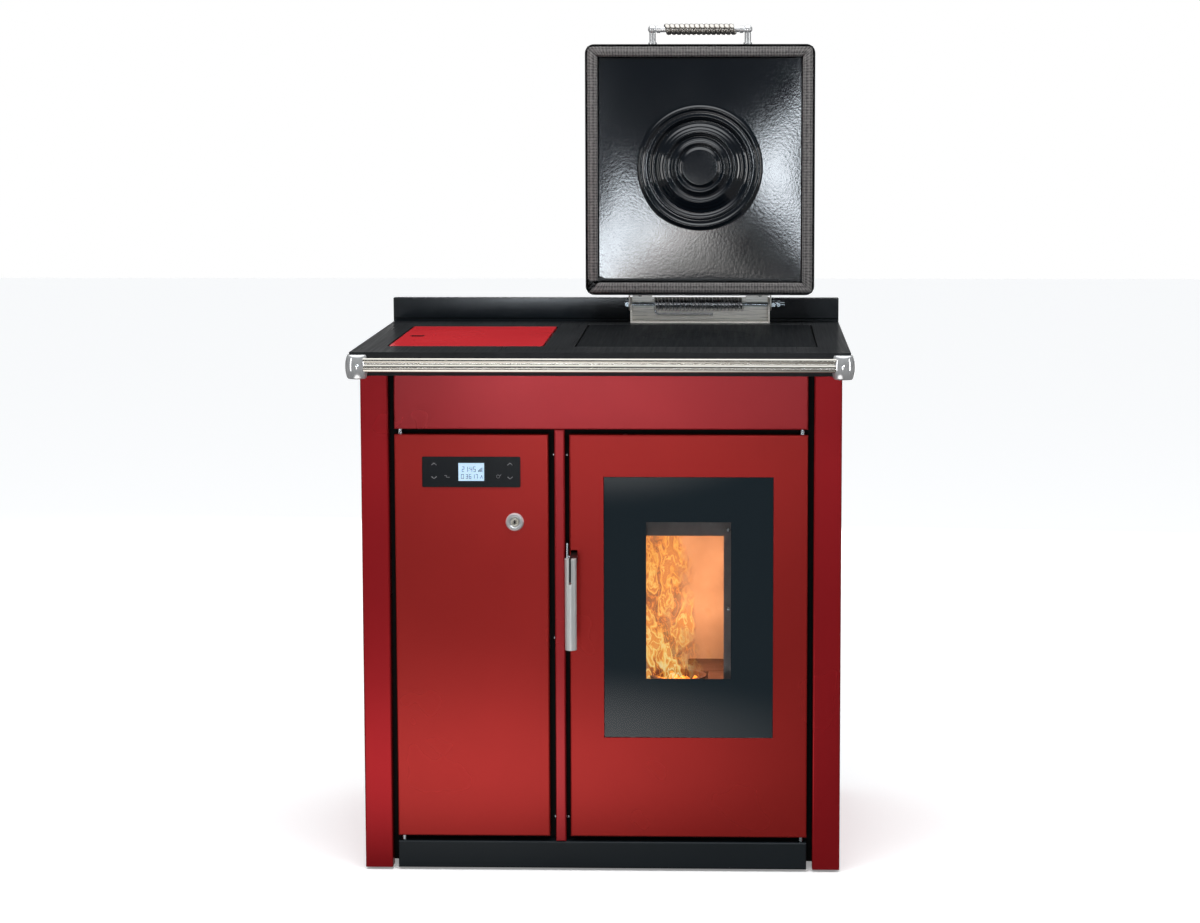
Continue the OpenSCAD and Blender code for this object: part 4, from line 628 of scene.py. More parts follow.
class CookerColours(bpy.types.PropertyGroup):
    """Colours that a buyer would choose."""

    body_red: bpy.props.FloatVectorProperty(
        name="Body red", description="Paint of the cabinet and the hopper lid", subtype="COLOR", size=3,
        default=(0.40, 0.014, 0.019), min=0, max=1)
    door_red: bpy.props.FloatVectorProperty(
        name="Door red", description="Paint of the two doors", subtype="COLOR", size=3,
        default=(0.40, 0.022, 0.019), min=0, max=1)
    floor: bpy.props.FloatVectorProperty(
        name="Floor", description="Colour of the studio floor", subtype="COLOR", size=3,
        default=(0.9, 0.9, 0.9), min=0, max=1)


def sizes():
    return bpy.context.scene.cooker_sizes


def colours():
    return bpy.context.scene.cooker_colours


# ---------------------------------------------------------------- pieces


class COOKER_OT_finishes(bpy.types.Operator):
    """Make every paint, metal, enamel and rope, and put them on the solids"""

    bl_idname = "cooker.finishes"
    bl_label = "Finishes"

    def execute(self, context):
        GROUPS.update({name: make() for name, make in GROUP_MAKERS.items()})
        build_finishes(colours(), sizes().rope_turn)
        for node, piece in frame["nodes"].items():
            piece.data.materials.clear()
            piece.data.materials.append(FINISH[SLOT_OF[node]])
        return {"FINISHED"}


class COOKER_OT_cabinet(bpy.types.Operator):
    """Soften the folded sheet metal of the cabinet and add its small screws"""

    bl_idname = "cooker.cabinet"
    bl_label = "Cabinet"

    def execute(self, context):
        for node in ("left_side_panel", "right_side_panel"):
            soften(node, sizes().edge, finish="side_paint")
        soften("front_fascia", sizes().edge)
        soften("centre_stile", sizes().edge)
        soften("plinth", sizes().edge, finish="plinth_paint")
        soften("front_frame", 0.0004)
        soften("door_hinge_pins", 0.0003)
        soften("levelling_feet", 0.0005)

        left, right = low("centre_stile").x - 2.6 * MM, high("centre_stile").x + 2.4 * MM
        top, halfway, foot = 0.687, 0.384, 0.084
        bm = bmesh.new()
        for x, z in ((left, top), (left, halfway), (left, foot), (right, top), (right, foot)):
            screw_head(bm, (x, low("front_frame").y, z), FRONT, sizes().screw)
        put("frame_screws", bm, "cabinet", "zinc", crease=30)

        lo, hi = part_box("rear_panel")
        inset = 12 * MM
        levels = (lo.z + inset, (lo.z + hi.z) / 2, hi.z - inset)
        bm = bmesh.new()
        for x in (lo.x + inset, 0.0, hi.x - inset):
            for z in levels:
                if x or z != levels[1]:
                    screw_head(bm, (x, hi.y, z), (0, 1, 0), 1.4 * sizes().screw)
        put("rear_screws", bm, "cabinet", "zinc", crease=30)
        return {"FINISHED"}


class COOKER_OT_worktop(bpy.types.Operator):
    """Soften the worktop, its upstand and the three cast pieces of the hob"""

    bl_idname = "cooker.worktop"
    bl_label = "Worktop and hob"

    def execute(self, context):
        soften("worktop", 0.0008, segments=3)
        soften("upstand", 0.0010, segments=3)
        soften("hob_plate", 0.0008)
        soften("hob_ring", 0.0006)
        soften("hob_disc", 0.0005)
        return {"FINISHED"}


def bead(z0, height, out, bulge):
    """Points (y, z) up one rounded bead of the rail, with a fine line scored along its middle."""
    steps, line, roundness = 24, 0.00035, 0.55
    points = []
    for i in range(steps + 1):
        t = i / steps
        y = out + bulge - bulge * math.sin(math.pi * t) ** roundness
        points.append((y + line if i == steps // 2 else y, z0 + height * t))
    return points


def barrel_part(bm, node, cuts):
    """A round-bellied barrel in a corner piece's box, less what lies beyond each cut (place, way out)."""
    lo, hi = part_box(node)
    radius, tall = (hi.x - lo.x) / 2, hi.z - lo.z
    bulge = 3.6 * MM
    end = radius - bulge
    profile = [(0.0, 0.0), (end - 1.2 * MM, 0.0), (end - 0.3 * MM, 0.4 * MM)]
    profile += [(radius - bulge * abs(i / 8 - 1) ** 2.2, tall * i / 16) for i in range(1, 16)]
    profile += [(end - 0.3 * MM, tall - 0.4 * MM), (end - 1.2 * MM, tall), (0.0, tall)]
    before = set(bm.verts)
    lathe(bm, profile, ((lo.x + hi.x) / 2, lo.y + radius, lo.z), (0, 0, 1), 72)
    bmesh.ops.remove_doubles(bm, verts=[v for v in bm.verts if v not in before], dist=1e-6)
    for place, way in cuts:
        own = [v for v in bm.verts if v not in before]
        geom = own + list({e for v in own for e in v.link_edges}) + list({f for v in own for f in v.link_faces})
        bmesh.ops.bisect_plane(bm, geom=geom, plane_co=place, plane_no=way, clear_outer=True)
        bmesh.ops.holes_fill(bm, edges=open_edges(bm), sides=0)


class COOKER_OT_rail(bpy.types.Operator):
    """Make the two-bead rail and its barrel-shaped chrome corners"""

    bl_idname = "cooker.rail"
    bl_label = "Rail and corners"

    def execute(self, context):
        lo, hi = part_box("front_rail")
        front, tall = hi.y - (hi.y - lo.y), hi.z - lo.z
        wide, narrow, groove = tall * 0.57, tall * 0.35, 5 * MM
        outline = [(hi.y, lo.z)] + bead(lo.z, wide, front, 0.0030)
        outline += [(front + groove, lo.z + wide), (front + groove, hi.z - narrow)]
        outline += bead(hi.z - narrow, narrow, front + 1 * MM, 0.0024) + [(hi.y, hi.z)]
        into_barrel = 4 * MM
        bm = bmesh.new()
        extrude_profile(bm, [(lo.x - into_barrel, y, z) for y, z in outline],
                        (hi.x - lo.x + 2 * into_barrel, 0, 0))
        put("rail_beads", bm, "cabinet", "stainless", replaces=("front_rail",), crease=40)

        # each barrel is two closed parts: in front of the worktop's edge, and past its end
        front, flank = low("worktop").y - 0.1 * MM, high("worktop").x + 0.1 * MM
        for side, node in ((-1, "left_rail_corner"), (1, "right_rail_corner")):
            bm = bmesh.new()
            barrel_part(bm, node, (((0, front, 0), (0, 1, 0)),))
            barrel_part(bm, node, (((0, front + 0.05 * MM, 0), (0, -1, 0)), ((side * flank, 0, 0), (-side, 0, 0))))
            put(node.replace("rail_corner", "barrel"), bm, "cabinet", "chrome", replaces=(node,), crease=38)
        return {"FINISHED"}


class COOKER_OT_hopper(bpy.types.Operator):
    """Soften the hopper lid, sink its finger cup and lay the soft strip under it"""

    bl_idname = "cooker.hopper"
    bl_label = "Hopper lid"

    def execute(self, context):
        # its red doesn't show in the upstand and the cover's rings
        # the lid wears the body red made lighter: painted light on its top
        soften("hopper_lid", 0.0006, finish="lid_paint_painted_lighter").visible_glossy = False

        lo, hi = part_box("hopper_lid")
        wide, deep, wall = 22.6 * MM, 12.6 * MM, 0.4 * MM
        inner, floor = wide - wall, wall - deep
        corner = Vector((lo.x + 14.2 * MM, (lo.y + hi.y) / 2 - wide / 2, hi.z - 0.1 * MM))
        bm = bmesh.new()
        for a, b in (((0, 0, -deep), (wide, wide, floor)), ((0, 0, floor), (wall, wide, 0)),
                     ((inner, 0, floor), (wide, wide, 0)), ((wall, 0, floor), (inner, wall, 0)),
                     ((wall, inner, floor), (inner, wide, 0))):
            add_box(bm, corner + Vector(a), corner + Vector(b))
        put("finger_cup", bm, "hopper_lid", "lid_rubber", finish="lever_black", crease=30, weld=False)

        lo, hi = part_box("hopper_lid_seal")
        radius, z = 3.5 * MM, (lo.z + hi.z) / 2
        inset, tall = radius + 0.2 * MM, (hi.z - lo.z) / 2 / radius
        path = corner_path(lo.x + inset, hi.x - inset, lo.y + inset, hi.y - inset, 0.006, 0.01)
        bm = bmesh.new()
        wire_loop(bm, [(x, y, z) for x, y in path], 12, radius)
        bmesh.ops.transform(bm, verts=bm.verts, matrix=Matrix.Translation((0, 0, z))
                            @ Matrix.Diagonal((1, 1, tall, 1)) @ Matrix.Translation((0, 0, -z)))
        put("lid_seal_strip", bm, "hopper_lid", "lid_rubber", replaces=("hopper_lid_seal",))
        return {"FINISHED"}


def corner_path(x0, x1, y0, y1, radius, step):
    """Points along a rectangle with round corners, a step apart, starting at the middle of its lower side."""
    middle_low = Vector(((x0 + x1) / 2, y0))
    raw = [middle_low]
    for cx, cy, start in ((x1 - radius, y0 + radius, -90), (x1 - radius, y1 - radius, 0),
                          (x0 + radius, y1 - radius, 90), (x0 + radius, y0 + radius, 180)):
        for k in range(7):
            a = math.radians(start + 15 * k)
            raw.append(Vector((cx + radius * math.cos(a), cy + radius * math.sin(a))))
    raw.append(middle_low)
    runs = [(b - a).length for a, b in zip(raw, raw[1:])]
    total = sum(runs)
    count = max(8, round(total / step))
    points, k, gone = [], 0, 0.0
    for i in range(count):
        want = total * i / count
        while gone + runs[k] < want:
            gone += runs[k]
            k += 1
        points.append(raw[k] + (raw[k + 1] - raw[k]) * ((want - gone) / runs[k]))
    return points


# the liner's pressed rings, from the centre outwards: (radius, how far they stand out) in millimetres
RING_STOPS = (
    (0.0, 0.0), (31.0, 0.0), (35.0, -3.0), (38.0, -5.2), (40.5, -3.4), (42.5, 0.8), (44.5, 0.8), (47.0, -2.5),
    (51.0, -5.6), (55.0, -6.2), (57.5, -4.4), (60.0, -0.4), (62.5, 0.4), (66.0, -1.2), (72.0, -4.0), (78.0, -7.4),
    (82.0, -8.6), (85.0, -6.8), (88.0, -1.6), (90.5, -0.4), (95.0, -1.2), (100.0, -0.4), (103.0, 1.8), (105.0, 2.6),
    (107.0, 2.0), (110.0, 0.0))
RING_SHARE = 0.85


def ring_rise(r):
    """How far the liner's pressed rings stand out at a radius from their centre, in metres."""
    r /= MM
    for (r0, h0), (r1, h1) in zip(RING_STOPS, RING_STOPS[1:]):
        if r <= r1:
            t = (r - r0) / (r1 - r0)
            return (h0 + (h1 - h0) * t * t * (3 - 2 * t)) * RING_SHARE * MM
    return 0.0


def pressed_liner(bm, centre, half_x, half_z, corner, bow, rim):
    """A pressed sheet: rings spun round its centre, and a field that bows back towards a rounded rectangle."""
    ring_out = 0.110
    radii = [0.0] + [k * 0.001 for k in range(2, 111)]
    lathe(bm, [(r, ring_rise(r)) for r in radii], centre, FRONT, 160)
    bmesh.ops.remove_doubles(bm, verts=bm.verts, dist=1e-6)
    outer = verts_of(bmesh.ops.extrude_edge_only(bm, edges=open_edges(bm))["geom"])
    for v in outer:
        v.co = to_rounded_rectangle(v.co - centre, half_x, half_z, corner) + centre
    spokes = [e for v in outer for e in v.link_edges
              if abs((e.other_vert(v).co - centre).length - ring_out) < 1e-4]
    bmesh.ops.subdivide_edges(bm, edges=spokes, cuts=26, use_grid_fill=True)
    for v in bm.verts:
        u, w = (v.co.x - centre.x) / half_x, (v.co.z - centre.z) / half_z
        v.co.y += bow * (1 - (1 - min(1, u * u)) * (1 - min(1, w * w)))
    for back in (0.0012, 0.004):
        for v in verts_of(bmesh.ops.extrude_edge_only(bm, edges=open_edges(bm))["geom"]):
            v.co.y += min(back, rim - v.co.y) if rim > v.co.y else 0.0


def to_rounded_rectangle(offset, half_x, half_z, corner):
    """Where a ray from the middle meets a rectangle with round corners."""
    way = Vector((offset.x, 0, offset.z)).normalized()
    reach = min(half_x / max(1e-9, abs(way.x)), half_z / max(1e-9, abs(way.z)))
    hit = way * reach
    cx, cz = half_x - corner, half_z - corner
    if abs(hit.x) > cx and abs(hit.z) > cz:
        pivot = Vector((math.copysign(cx, hit.x), 0, math.copysign(cz, hit.z)))
        along = way.dot(pivot)
        reach = along + math.sqrt(max(0.0, corner ** 2 - pivot.length_squared + along ** 2))
        hit = way * reach
    hit.y = offset.y
    return hit


def rope_section(width, depth, around, squareness=0.62):
    """Points (across, out) round a rope that is pressed into a squarish section."""
    section = []
    for k in range(around):
        a = 2 * math.pi * (k + 0.5) / around - math.pi / 2
        c, d = math.cos(a), math.sin(a)
        section.append((math.copysign(abs(c) ** squareness, c) * width / 2,
                        math.copysign(abs(d) ** squareness, d) * depth / 2))
    return section


def rope_side(bm, start, end, across, out, width, depth, mitre=(True, True), pinch=0.82):
    """One length of rope seal, its ends cut at 45 degrees and sunk a little; carries a UV map along the rope."""
    start, end, across, out = Vector(start), Vector(end), Vector(across), Vector(out)
    way, length = (end - start).normalized(), (end - start).length
    around, taper, stitch_run, slant_run = 20, 0.008, 0.02, 0.03
    stitch = bm.loops.layers.uv.get("rope") or bm.loops.layers.uv.new("rope")
    section = rope_section(width, depth, around)
    full = length - 2 * taper
    count = max(2, round(full / stitch_run))
    stops = [(0.0, pinch), (0.003, 0.95), (taper, 1.0)]
    stops += [(taper + full * k / count, 1.0) for k in range(1, count + 1)]
    stops += [(length - 0.003, 0.95), (length, pinch)]
    rings = []
    for run, size in stops:
        ring = []
        for a, d in section:
            slant = 0.0
            if run < length / 2 and mitre[0]:
                slant = -a * max(0.0, 1 - run / slant_run)
            elif run > length / 2 and mitre[1]:
                slant = a * max(0.0, 1 - (length - run) / slant_run)
            ring.append(bm.verts.new(start + way * (run + slant) + across * a * (0.5 + size / 2) + out * d * size))
        rings.append(ring)
    for (here, _), (there, _), ring, after in zip(stops, stops[1:], rings, rings[1:]):
        for k in range(around):
            n, v, high_v = (k + 1) % around, k / around, (k + 1) / around
            face = bm.faces.new((ring[k], ring[n], after[n], after[k]))
            for loop, uv in zip(face.loops, ((here, v), (here, high_v), (there, high_v), (there, v))):
                loop[stitch].uv = uv
    bm.faces.new(rings[0])
    bm.faces.new(list(reversed(rings[-1])))


def rope_round(bm, node, width, edge, out, joint=0.0, pinch=0.82):
    """Rope in four lengths round a seal's box; a joint is left open above its lower left corner.

    Gives back the middle of that corner and the rope's depth.
    """
    lo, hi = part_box(node)
    depth, y = (hi.y - lo.y) - 0.4 * MM, (lo.y + hi.y) / 2
    x0, x1 = lo.x + width / 2 + edge, hi.x - width / 2 - edge
    z0, z1 = lo.z + width / 2 + edge, hi.z - width / 2 - edge
    corners = ((x0, z0), (x0, z1), (x1, z1), (x1, z0))
    sides = ((-1, 0, 0), (0, 0, 1), (1, 0, 0), (0, 0, -1))
    for (ax, az), (bx, bz), across in zip(corners, corners[1:] + corners[:1], sides):
        gap = joint if across == sides[0] else 0.0
        rope_side(bm, (ax, y, az + gap), (bx, y, bz), across, out, width, depth, (not gap, True), pinch)
    return Vector((x0, y, z0)), depth


class COOKER_OT_cover(bpy.types.Operator):
    """Make the hob cover: enamelled shell, pressed liner and braided rope seal"""

    bl_idname = "cooker.cover"
    bl_label = "Hob cover"

    def execute(self, context):
        soften("cover_shell", 0.0008, segments=3)
        soften("cover_hinge_strap", 0.0004)

        lo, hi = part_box("cover_liner")
        seat, play = low("cover_shell").y + 3 * MM, 1 * MM
        centre = Vector(((lo.x + hi.x) / 2, seat, (lo.z + hi.z) / 2 + 5 * MM))
        bm = bmesh.new()
        pressed_liner(bm, centre, (hi.x - lo.x) / 2 - play, (hi.z - lo.z) / 2 - play, corner=6 * MM, bow=4.8 * MM,
                      rim=seat + 11 * MM)
        for v in bm.verts:
            v.co.z = min(max(v.co.z, lo.z + play), hi.z - play)
        bmesh.ops.solidify(bm, geom=bm.faces, thickness=1.2 * MM)
        put("pressed_liner", bm, "hob_cover", "enamel", replaces=("cover_liner",), crease=60)

        bm = bmesh.new()
        corner, depth = rope_round(bm, "cover_seal", 18.5 * MM, 1.8 * MM, FRONT, joint=13 * MM)
        put("cover_rope", bm, "hob_cover", "rope", replaces=("cover_seal",), weld=False, crease=70)

        bm = bmesh.new()
        random.seed(7)
        for _ in range(9):
            spot = Vector((corner.x + random.uniform(-0.006, 0.006), corner.y - depth * 0.25,
                           corner.z + random.uniform(-0.004, 0.016)))
            bmesh.ops.create_icosphere(bm, subdivisions=2, radius=random.uniform(0.0035, 0.0052),
                                       matrix=Matrix.Translation(spot) @ Matrix.Diagonal((1.2, 0.55, 1.0, 1)))
        put("rope_joint", bm, "hob_cover", "rope", finish="adhesive_black", weld=False)
        return {"FINISHED"}


class COOKER_OT_hinge(bpy.types.Operator):
    """Make the hinge: bracket, rod, torsion spring and screws"""

    bl_idname = "cooker.hinge"
    bl_label = "Cover hinge"

    def execute(self, context):
        soften("cover_hinge_base", 0.0006)
        soften("hinge_rod", 0.0003)

        lo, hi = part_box("hinge_spring")
        strap_x, rod = middle("cover_hinge_strap").x, middle("hinge_rod")
        wire, radius, pitch, turns = 5 * MM, 10 * MM, 6.6 * MM, 24
        x0 = strap_x - turns * pitch / 2 - 2 * MM
        leg_y, leg_z, bend, leg = hi.y - wire / 2, lo.z + wire / 2, 7 * MM, 104 * MM
        back = rod.y + radius
        bm = bmesh.new()
        first, last = coil(bm, (x0, rod.y, rod.z), radius, wire, pitch, turns, 12)
        path = [(x0, back, rod.z), (x0, back + 0.6 * MM, rod.z - 3 * MM),
                (x0, (back + leg_y) / 2, rod.z - 6.5 * MM), (x0, leg_y, rod.z - 10 * MM)]
        for k in range(7):
            a = math.radians(90 * k / 6)
            path.append((x0 + bend - bend * math.cos(a), leg_y, leg_z + bend - bend * math.sin(a)))
        path.append((x0 + leg, leg_y, leg_z))
        close_ends(bm, 12, wire_end(bm, first, path), last)
        put("wound_spring", bm, "cabinet", "spring_steel", replaces=("hinge_spring",), crease=60)

        bm = bmesh.new()
        y, underside = low("cover_hinge_strap").y + 7 * MM, high("cover_hinge_strap").z - 2.5 * MM
        for x in (strap_x - 107.7 * MM, strap_x + 107.7 * MM):
            screw_head(bm, (x, y, underside), (0, 0, -1), 4 * MM)
        put("strap_screws", bm, "hob_cover", "spring_steel", crease=30)
        return {"FINISHED"}


class COOKER_OT_cover_handle(bpy.types.Operator):
    """Make the cover's handle: chrome posts and the cool-touch coil"""

    bl_idname = "cooker.cover_handle"
    bl_label = "Cover handle"

    def execute(self, context):
        soften("cover_handle_posts", 0.0002)
        centre = middle("cover_handle_coil")
        wire, radius, pitch, turns, flatness = 4.4 * MM, 8 * MM, 8.8 * MM, 14, 1.95
        bm = bmesh.new()
        ends = coil(bm, (centre.x - turns * pitch / 2, centre.y, centre.z), radius, wire, pitch, turns, 16, flatness)
        close_ends(bm, 16, *ends)
        put("wound_grip", bm, "hob_cover", "chrome", finish="grip_coil", replaces=("cover_handle_coil",), crease=60)
        return {"FINISHED"}


def stroke(bm, points, thick, y, depth=0.00012):
    """A flat printed line through points (x, z), lying on a front face."""
    for (x0, z0), (x1, z1) in zip(points, points[1:]):
        run = Vector((x1 - x0, 0, z1 - z0))
        way, into = run.normalized(), Vector((0, 1, 0))
        add_bar(bm, ((x0 + x1) / 2, y, (z0 + z1) / 2), (way, into, way.cross(into)),
                (run.length + thick * 0.5, depth, thick))


SEGMENTS = {"1": "bc", "2": "abged", "3": "abgcd", "4": "fgbc", "5": "afgcd", "6": "afgedc", "7": "abc"}


def digit(bm, figure, x, z, wide, tall, y):
    """A seven-bar figure whose lower left corner is at x, z."""
    mid, top, right = z + tall / 2, z + tall, x + wide
    bars = {"a": ((x, top), (right, top)), "b": ((right, top), (right, mid)), "c": ((right, mid), (right, z)),
            "d": ((x, z), (right, z)), "e": ((x, mid), (x, z)), "f": ((x, top), (x, mid)),
            "g": ((x, mid), (right, mid))}
    for bar in SEGMENTS[figure]:
        stroke(bm, bars[bar], wide * 0.24, y)


class COOKER_OT_technical_door(bpy.types.Operator):
    """Soften the technical door and make its control panel and lock"""

    bl_idname = "cooker.technical_door"
    bl_label = "Technical door"

    def execute(self, context):
        soften("technical_door", sizes().edge)
        soften("control_bezel", 0.0006)
        soften("lock_body", 0.0004)
        soften("lock_barrel", 0.0003, finish="key_barrel")
        self.print_panel()
        self.print_screen()

        # the keyway is no hole but a thin black bar and disc on the barrel's face: painted shade
        centre, face = middle("lock_body"), low("lock_barrel").y
        bm = bmesh.new()
        stroke(bm, ((centre.x, centre.z - 3.6 * MM), (centre.x, centre.z + 3.6 * MM)), 1.5 * MM, face - 0.0001, 0.0004)
        depth = 0.0004
        turn = Vector((0, 0, 1)).rotation_difference(FRONT).to_matrix().to_4x4()
        place = Matrix.Translation(Vector((centre.x, face + 0.0001, centre.z)) + FRONT * depth / 2) @ turn
        bmesh.ops.create_cone(bm, cap_ends=True, segments=24, radius1=1.7 * MM, radius2=1.7 * MM, depth=depth,
                              matrix=place)
        put("keyway_painted_shade", bm, "door_lock", "lever_black", weld=False)
        return {"FINISHED"}

    def print_panel(self):
        """The touch keys' marks: two pairs of arrows, a step and a ring with a tail."""
        lo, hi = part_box("control_bezel")
        y = lo.y - 0.00005
        bm = bmesh.new()
        for x in (lo.x + 19.5 * MM, hi.x - 17 * MM):
            for z, rise in ((hi.z - 12 * MM, 1.6 * MM), (hi.z - 34.5 * MM, -1.6 * MM)):
                stroke(bm, ((x - 4 * MM, z - rise), (x, z + rise), (x + 4 * MM, z - rise)), 1.0 * MM, y)
        x, z = lo.x + 40.5 * MM, lo.z + 17.5 * MM
        stroke(bm, ((x - 4 * MM, z + 1.6 * MM), (x - 1 * MM, z + 1.6 * MM), (x - 1 * MM, z - 1.2 * MM),
                    (x + 4 * MM, z - 1.2 * MM)), 0.8 * MM, y)
        x, z = hi.x - 36.5 * MM, lo.z + 17.8 * MM
        ring = [(x + 2.6 * MM * math.cos(a), z + 2.6 * MM * math.sin(a))
                for a in (math.radians(20 * k - 50) for k in range(18))]
        stroke(bm, ring + [(x + 5 * MM, z + 3.4 * MM)], 0.7 * MM, y)
        put("panel_marks", bm, "technical_door", "panel_black", finish="icon_grey", weld=False)

    def print_screen(self):
        """The display: a clock and bars above, a square, figures and a peak below."""
        lo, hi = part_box("control_screen")
        y = lo.y - 0.00005
        bm = bmesh.new()
        x, z = lo.x + 6 * MM, lo.z + 15 * MM
        for k, figure in enumerate("2145"):
            digit(bm, figure, x + k * 5.6 * MM + (1.6 * MM if k > 1 else 0), z, 3.2 * MM, 8 * MM, y)
        for dz in (2.2 * MM, 5.4 * MM):
            stroke(bm, ((x + 11.0 * MM, z + dz), (x + 11.6 * MM, z + dz)), 0.8 * MM, y)
        for k, tall in enumerate((2.4, 3.8, 5.2, 6.6)):
            bar = hi.x - (9 - 1.9 * k) * MM
            stroke(bm, ((bar, z), (bar, z + tall * MM)), 1.1 * MM, y)
        x, z = lo.x + 4.5 * MM, lo.z + 4 * MM
        stroke(bm, ((x, z), (x, z + 6.5 * MM), (x + 4 * MM, z + 6.5 * MM), (x + 4 * MM, z), (x, z)), 0.7 * MM, y)
        for k, figure in enumerate("3617"):
            digit(bm, figure, x + (7.5 + 5.4 * k) * MM, z, 3.0 * MM, 6.4 * MM, y)
        stroke(bm, ((hi.x - 6 * MM, z), (hi.x - 4 * MM, z + 5 * MM), (hi.x - 2.6 * MM, z)), 0.7 * MM, y)
        put("screen_figures", bm, "technical_door", "screen", finish="screen_ink", weld=False)


class COOKER_OT_fire_door(bpy.types.Operator):
    """Soften the fire door, its glass, casting and glass clip, and make its rope seal and clip screws"""

    bl_idname = "cooker.fire_door"
    bl_label = "Fire door"

    def execute(self, context):
        soften("fire_door", sizes().edge)
        soften("door_glass", 0.0005)
        soften("door_casting", 0.0008)
        soften("glass_clip", 0.0003, finish="clip_steel")

        bm = bmesh.new()
        rope_round(bm, "door_seal", 9.4 * MM, 0.2 * MM, (0, 1, 0), pinch=0.97)
        put("door_rope_seal", bm, "fire_door", "door_rope", replaces=("door_seal",), weld=False, crease=70)

        lo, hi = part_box("glass_clip")
        bm = bmesh.new()
        for z in (hi.z - 23.9 * MM, hi.z - 154.6 * MM):
            screw_head(bm, (hi.x - 22 * MM, lo.y, z), FRONT, 2.9 * MM)
        put("clip_screws", bm, "fire_door", "zinc", crease=30)
        return {"FINISHED"}


def hang_light(name, kind, place, power, colour=(1, 1, 1)):
    """A light that the camera doesn't see, also not through the door's glass."""
    lamp = bpy.data.lights.new(name, kind)
    lamp.energy = power
    lamp.color = colour
    light = bpy.data.objects.new(name, lamp)
    light.location = place
    light.visible_camera = light.visible_transmission = False
    bpy.context.scene.collection.objects.link(light)
    return light


class COOKER_OT_fire(bpy.types.Operator):
    """Light the fire: sheets of flame, embers in the pot, the ledge beside it and the glow on the lining"""

    bl_idname = "cooker.fire"
    bl_label = "Fire"

    def execute(self, context):
        pot_lo, pot_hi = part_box("burn_pot")
        wall_lo, wall_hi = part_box("firebox_lining")
        spot, foot = (pot_lo + pot_hi) / 2, pot_hi.z - 12 * MM
        x0, x1 = wall_lo.x + 13 * MM, wall_hi.x - 13 * MM
        for name, finish, y, bow in (("flame_front", "flame", spot.y - 0.016, 0.012),
                                     ("flame_back", "flame_haze", spot.y + 0.022, -0.010)):
            bm = bmesh.new()
            uv = bm.loops.layers.uv.new("flame")
            bmesh.ops.create_grid(bm, x_segments=24, y_segments=40, size=0.5)
            for face in bm.faces:
                for loop in face.loops:
                    loop[uv].uv = (loop.vert.co.x + 0.5, loop.vert.co.y + 0.5)
            for v in bm.verts:
                u, w = v.co.x + 0.5, v.co.y + 0.5
                v.co = Vector((x0 + (x1 - x0) * u, y + bow * math.sin(5.2 * u + 7.0 * w),
                               foot + sizes().flame_height * w))
            put(name, bm, "cabinet", None, finish=finish, weld=False)

        pellet, heap = 0.003, 0.036
        bm = bmesh.new()
        random.seed(11)
        for _ in range(46):
            a, r = random.uniform(0, 2 * math.pi), heap * math.sqrt(random.random())
            centre = Vector((spot.x + r * math.cos(a), spot.y + r * math.sin(a),
                             foot - 0.012 + random.uniform(0, 0.014)))
            lean = random.uniform(0, 3)
            turn = Matrix.Rotation(lean, 4, Vector((random.random(), random.random(), 0.4)).normalized())
            bmesh.ops.create_cone(bm, cap_ends=True, segments=10, radius1=pellet, radius2=pellet,
                                  depth=random.uniform(0.010, 0.018), matrix=Matrix.Translation(centre) @ turn)
        put("embers", bm, "cabinet", None, finish="ember", weld=False, crease=40)

        # the ledge round the pot and the pot itself wear a dark red-brown in place of their own finishes: painted
        # shade
        side, back, top = wall_hi.x - 12.6 * MM, wall_hi.y - 12.6 * MM, pot_hi.z - 3 * MM
        bm = bmesh.new()
        add_box(bm, (spot.x + 14 * MM, pot_hi.y + 2 * MM, wall_lo.z), (side, back, top))
        add_box(bm, (pot_hi.x + 2 * MM, pot_lo.y - 40 * MM, wall_lo.z), (side, pot_hi.y + 1.8 * MM, top))
        put("hearth_ledge", bm, "cabinet", "fire_clay", finish="ledge_painted_shade", crease=30, bevel=0.003, weld=False)
        soften("burn_pot", 0.0004, finish="ledge_painted_shade")

        for name, y, rise, power in (("fire_glow", spot.y - 0.01, 0.11, 2.6), ("fire_glow_high", spot.y, 0.22, 1.1)):
            glow = hang_light(name, "POINT", (spot.x - 0.02, y, foot + rise), power, (1.0, 0.52, 0.30))
            glow.data.shadow_soft_size = 0.03
            glow.visible_glossy = False
        return {"FINISHED"}


class COOKER_OT_door_handle(bpy.types.Operator):
    """Soften the steel grip, the lever and the latch tongue"""

    bl_idname = "cooker.door_handle"
    bl_label = "Door handle"

    def execute(self, context):
        soften("door_grip", 0.0006, segments=3)
        soften("handle_lever", 0.0006)
        soften("latch_tongue", 0.0004)
        return {"FINISHED"}


# ---------------------------------------------------------------- stage


COLD, PLAIN = (0.86, 0.93, 1.0), (1.0, 1.0, 1.0)
# name, place, what it is turned to, size, brightness, colour, roll in degrees
SOFT_BOXES = (
    ("key_left_low", (-0.56, -5.8, 0.58), (0.0, 0.2, 1.0), (0.66, 0.26), 18.0, COLD, -36),
    ("key_right", (0.84, -5.8, 0.93), (0.2, 0.2, 1.1), (0.42, 0.46), 17.0, COLD, 0),
    ("side_left", (-2.6, -1.6, 1.0), (-0.2, -0.2, 0.6), (0.5, 1.8), 3.5, PLAIN, 0),
    ("side_right", (3.0, -1.4, 1.1), (0.3, -0.2, 0.6), (0.5, 1.8), 4.0, PLAIN, 0),
    ("back", (0.3, 3.4, 0.60), (0.0, 0.3, 0.5), (2.6, 0.9), 3.0, PLAIN, 0),
    ("overhead", (0.0, -1.0, 2.7), (0.0, 0.0, 0.9), (1.7, 0.40), 15.0, PLAIN, 0),
    ("overhead_shine", (0.0, -1.0, 2.7), (0.0, 0.0, 0.9), (1.7, 0.40), 7.0, PLAIN, 0),
)
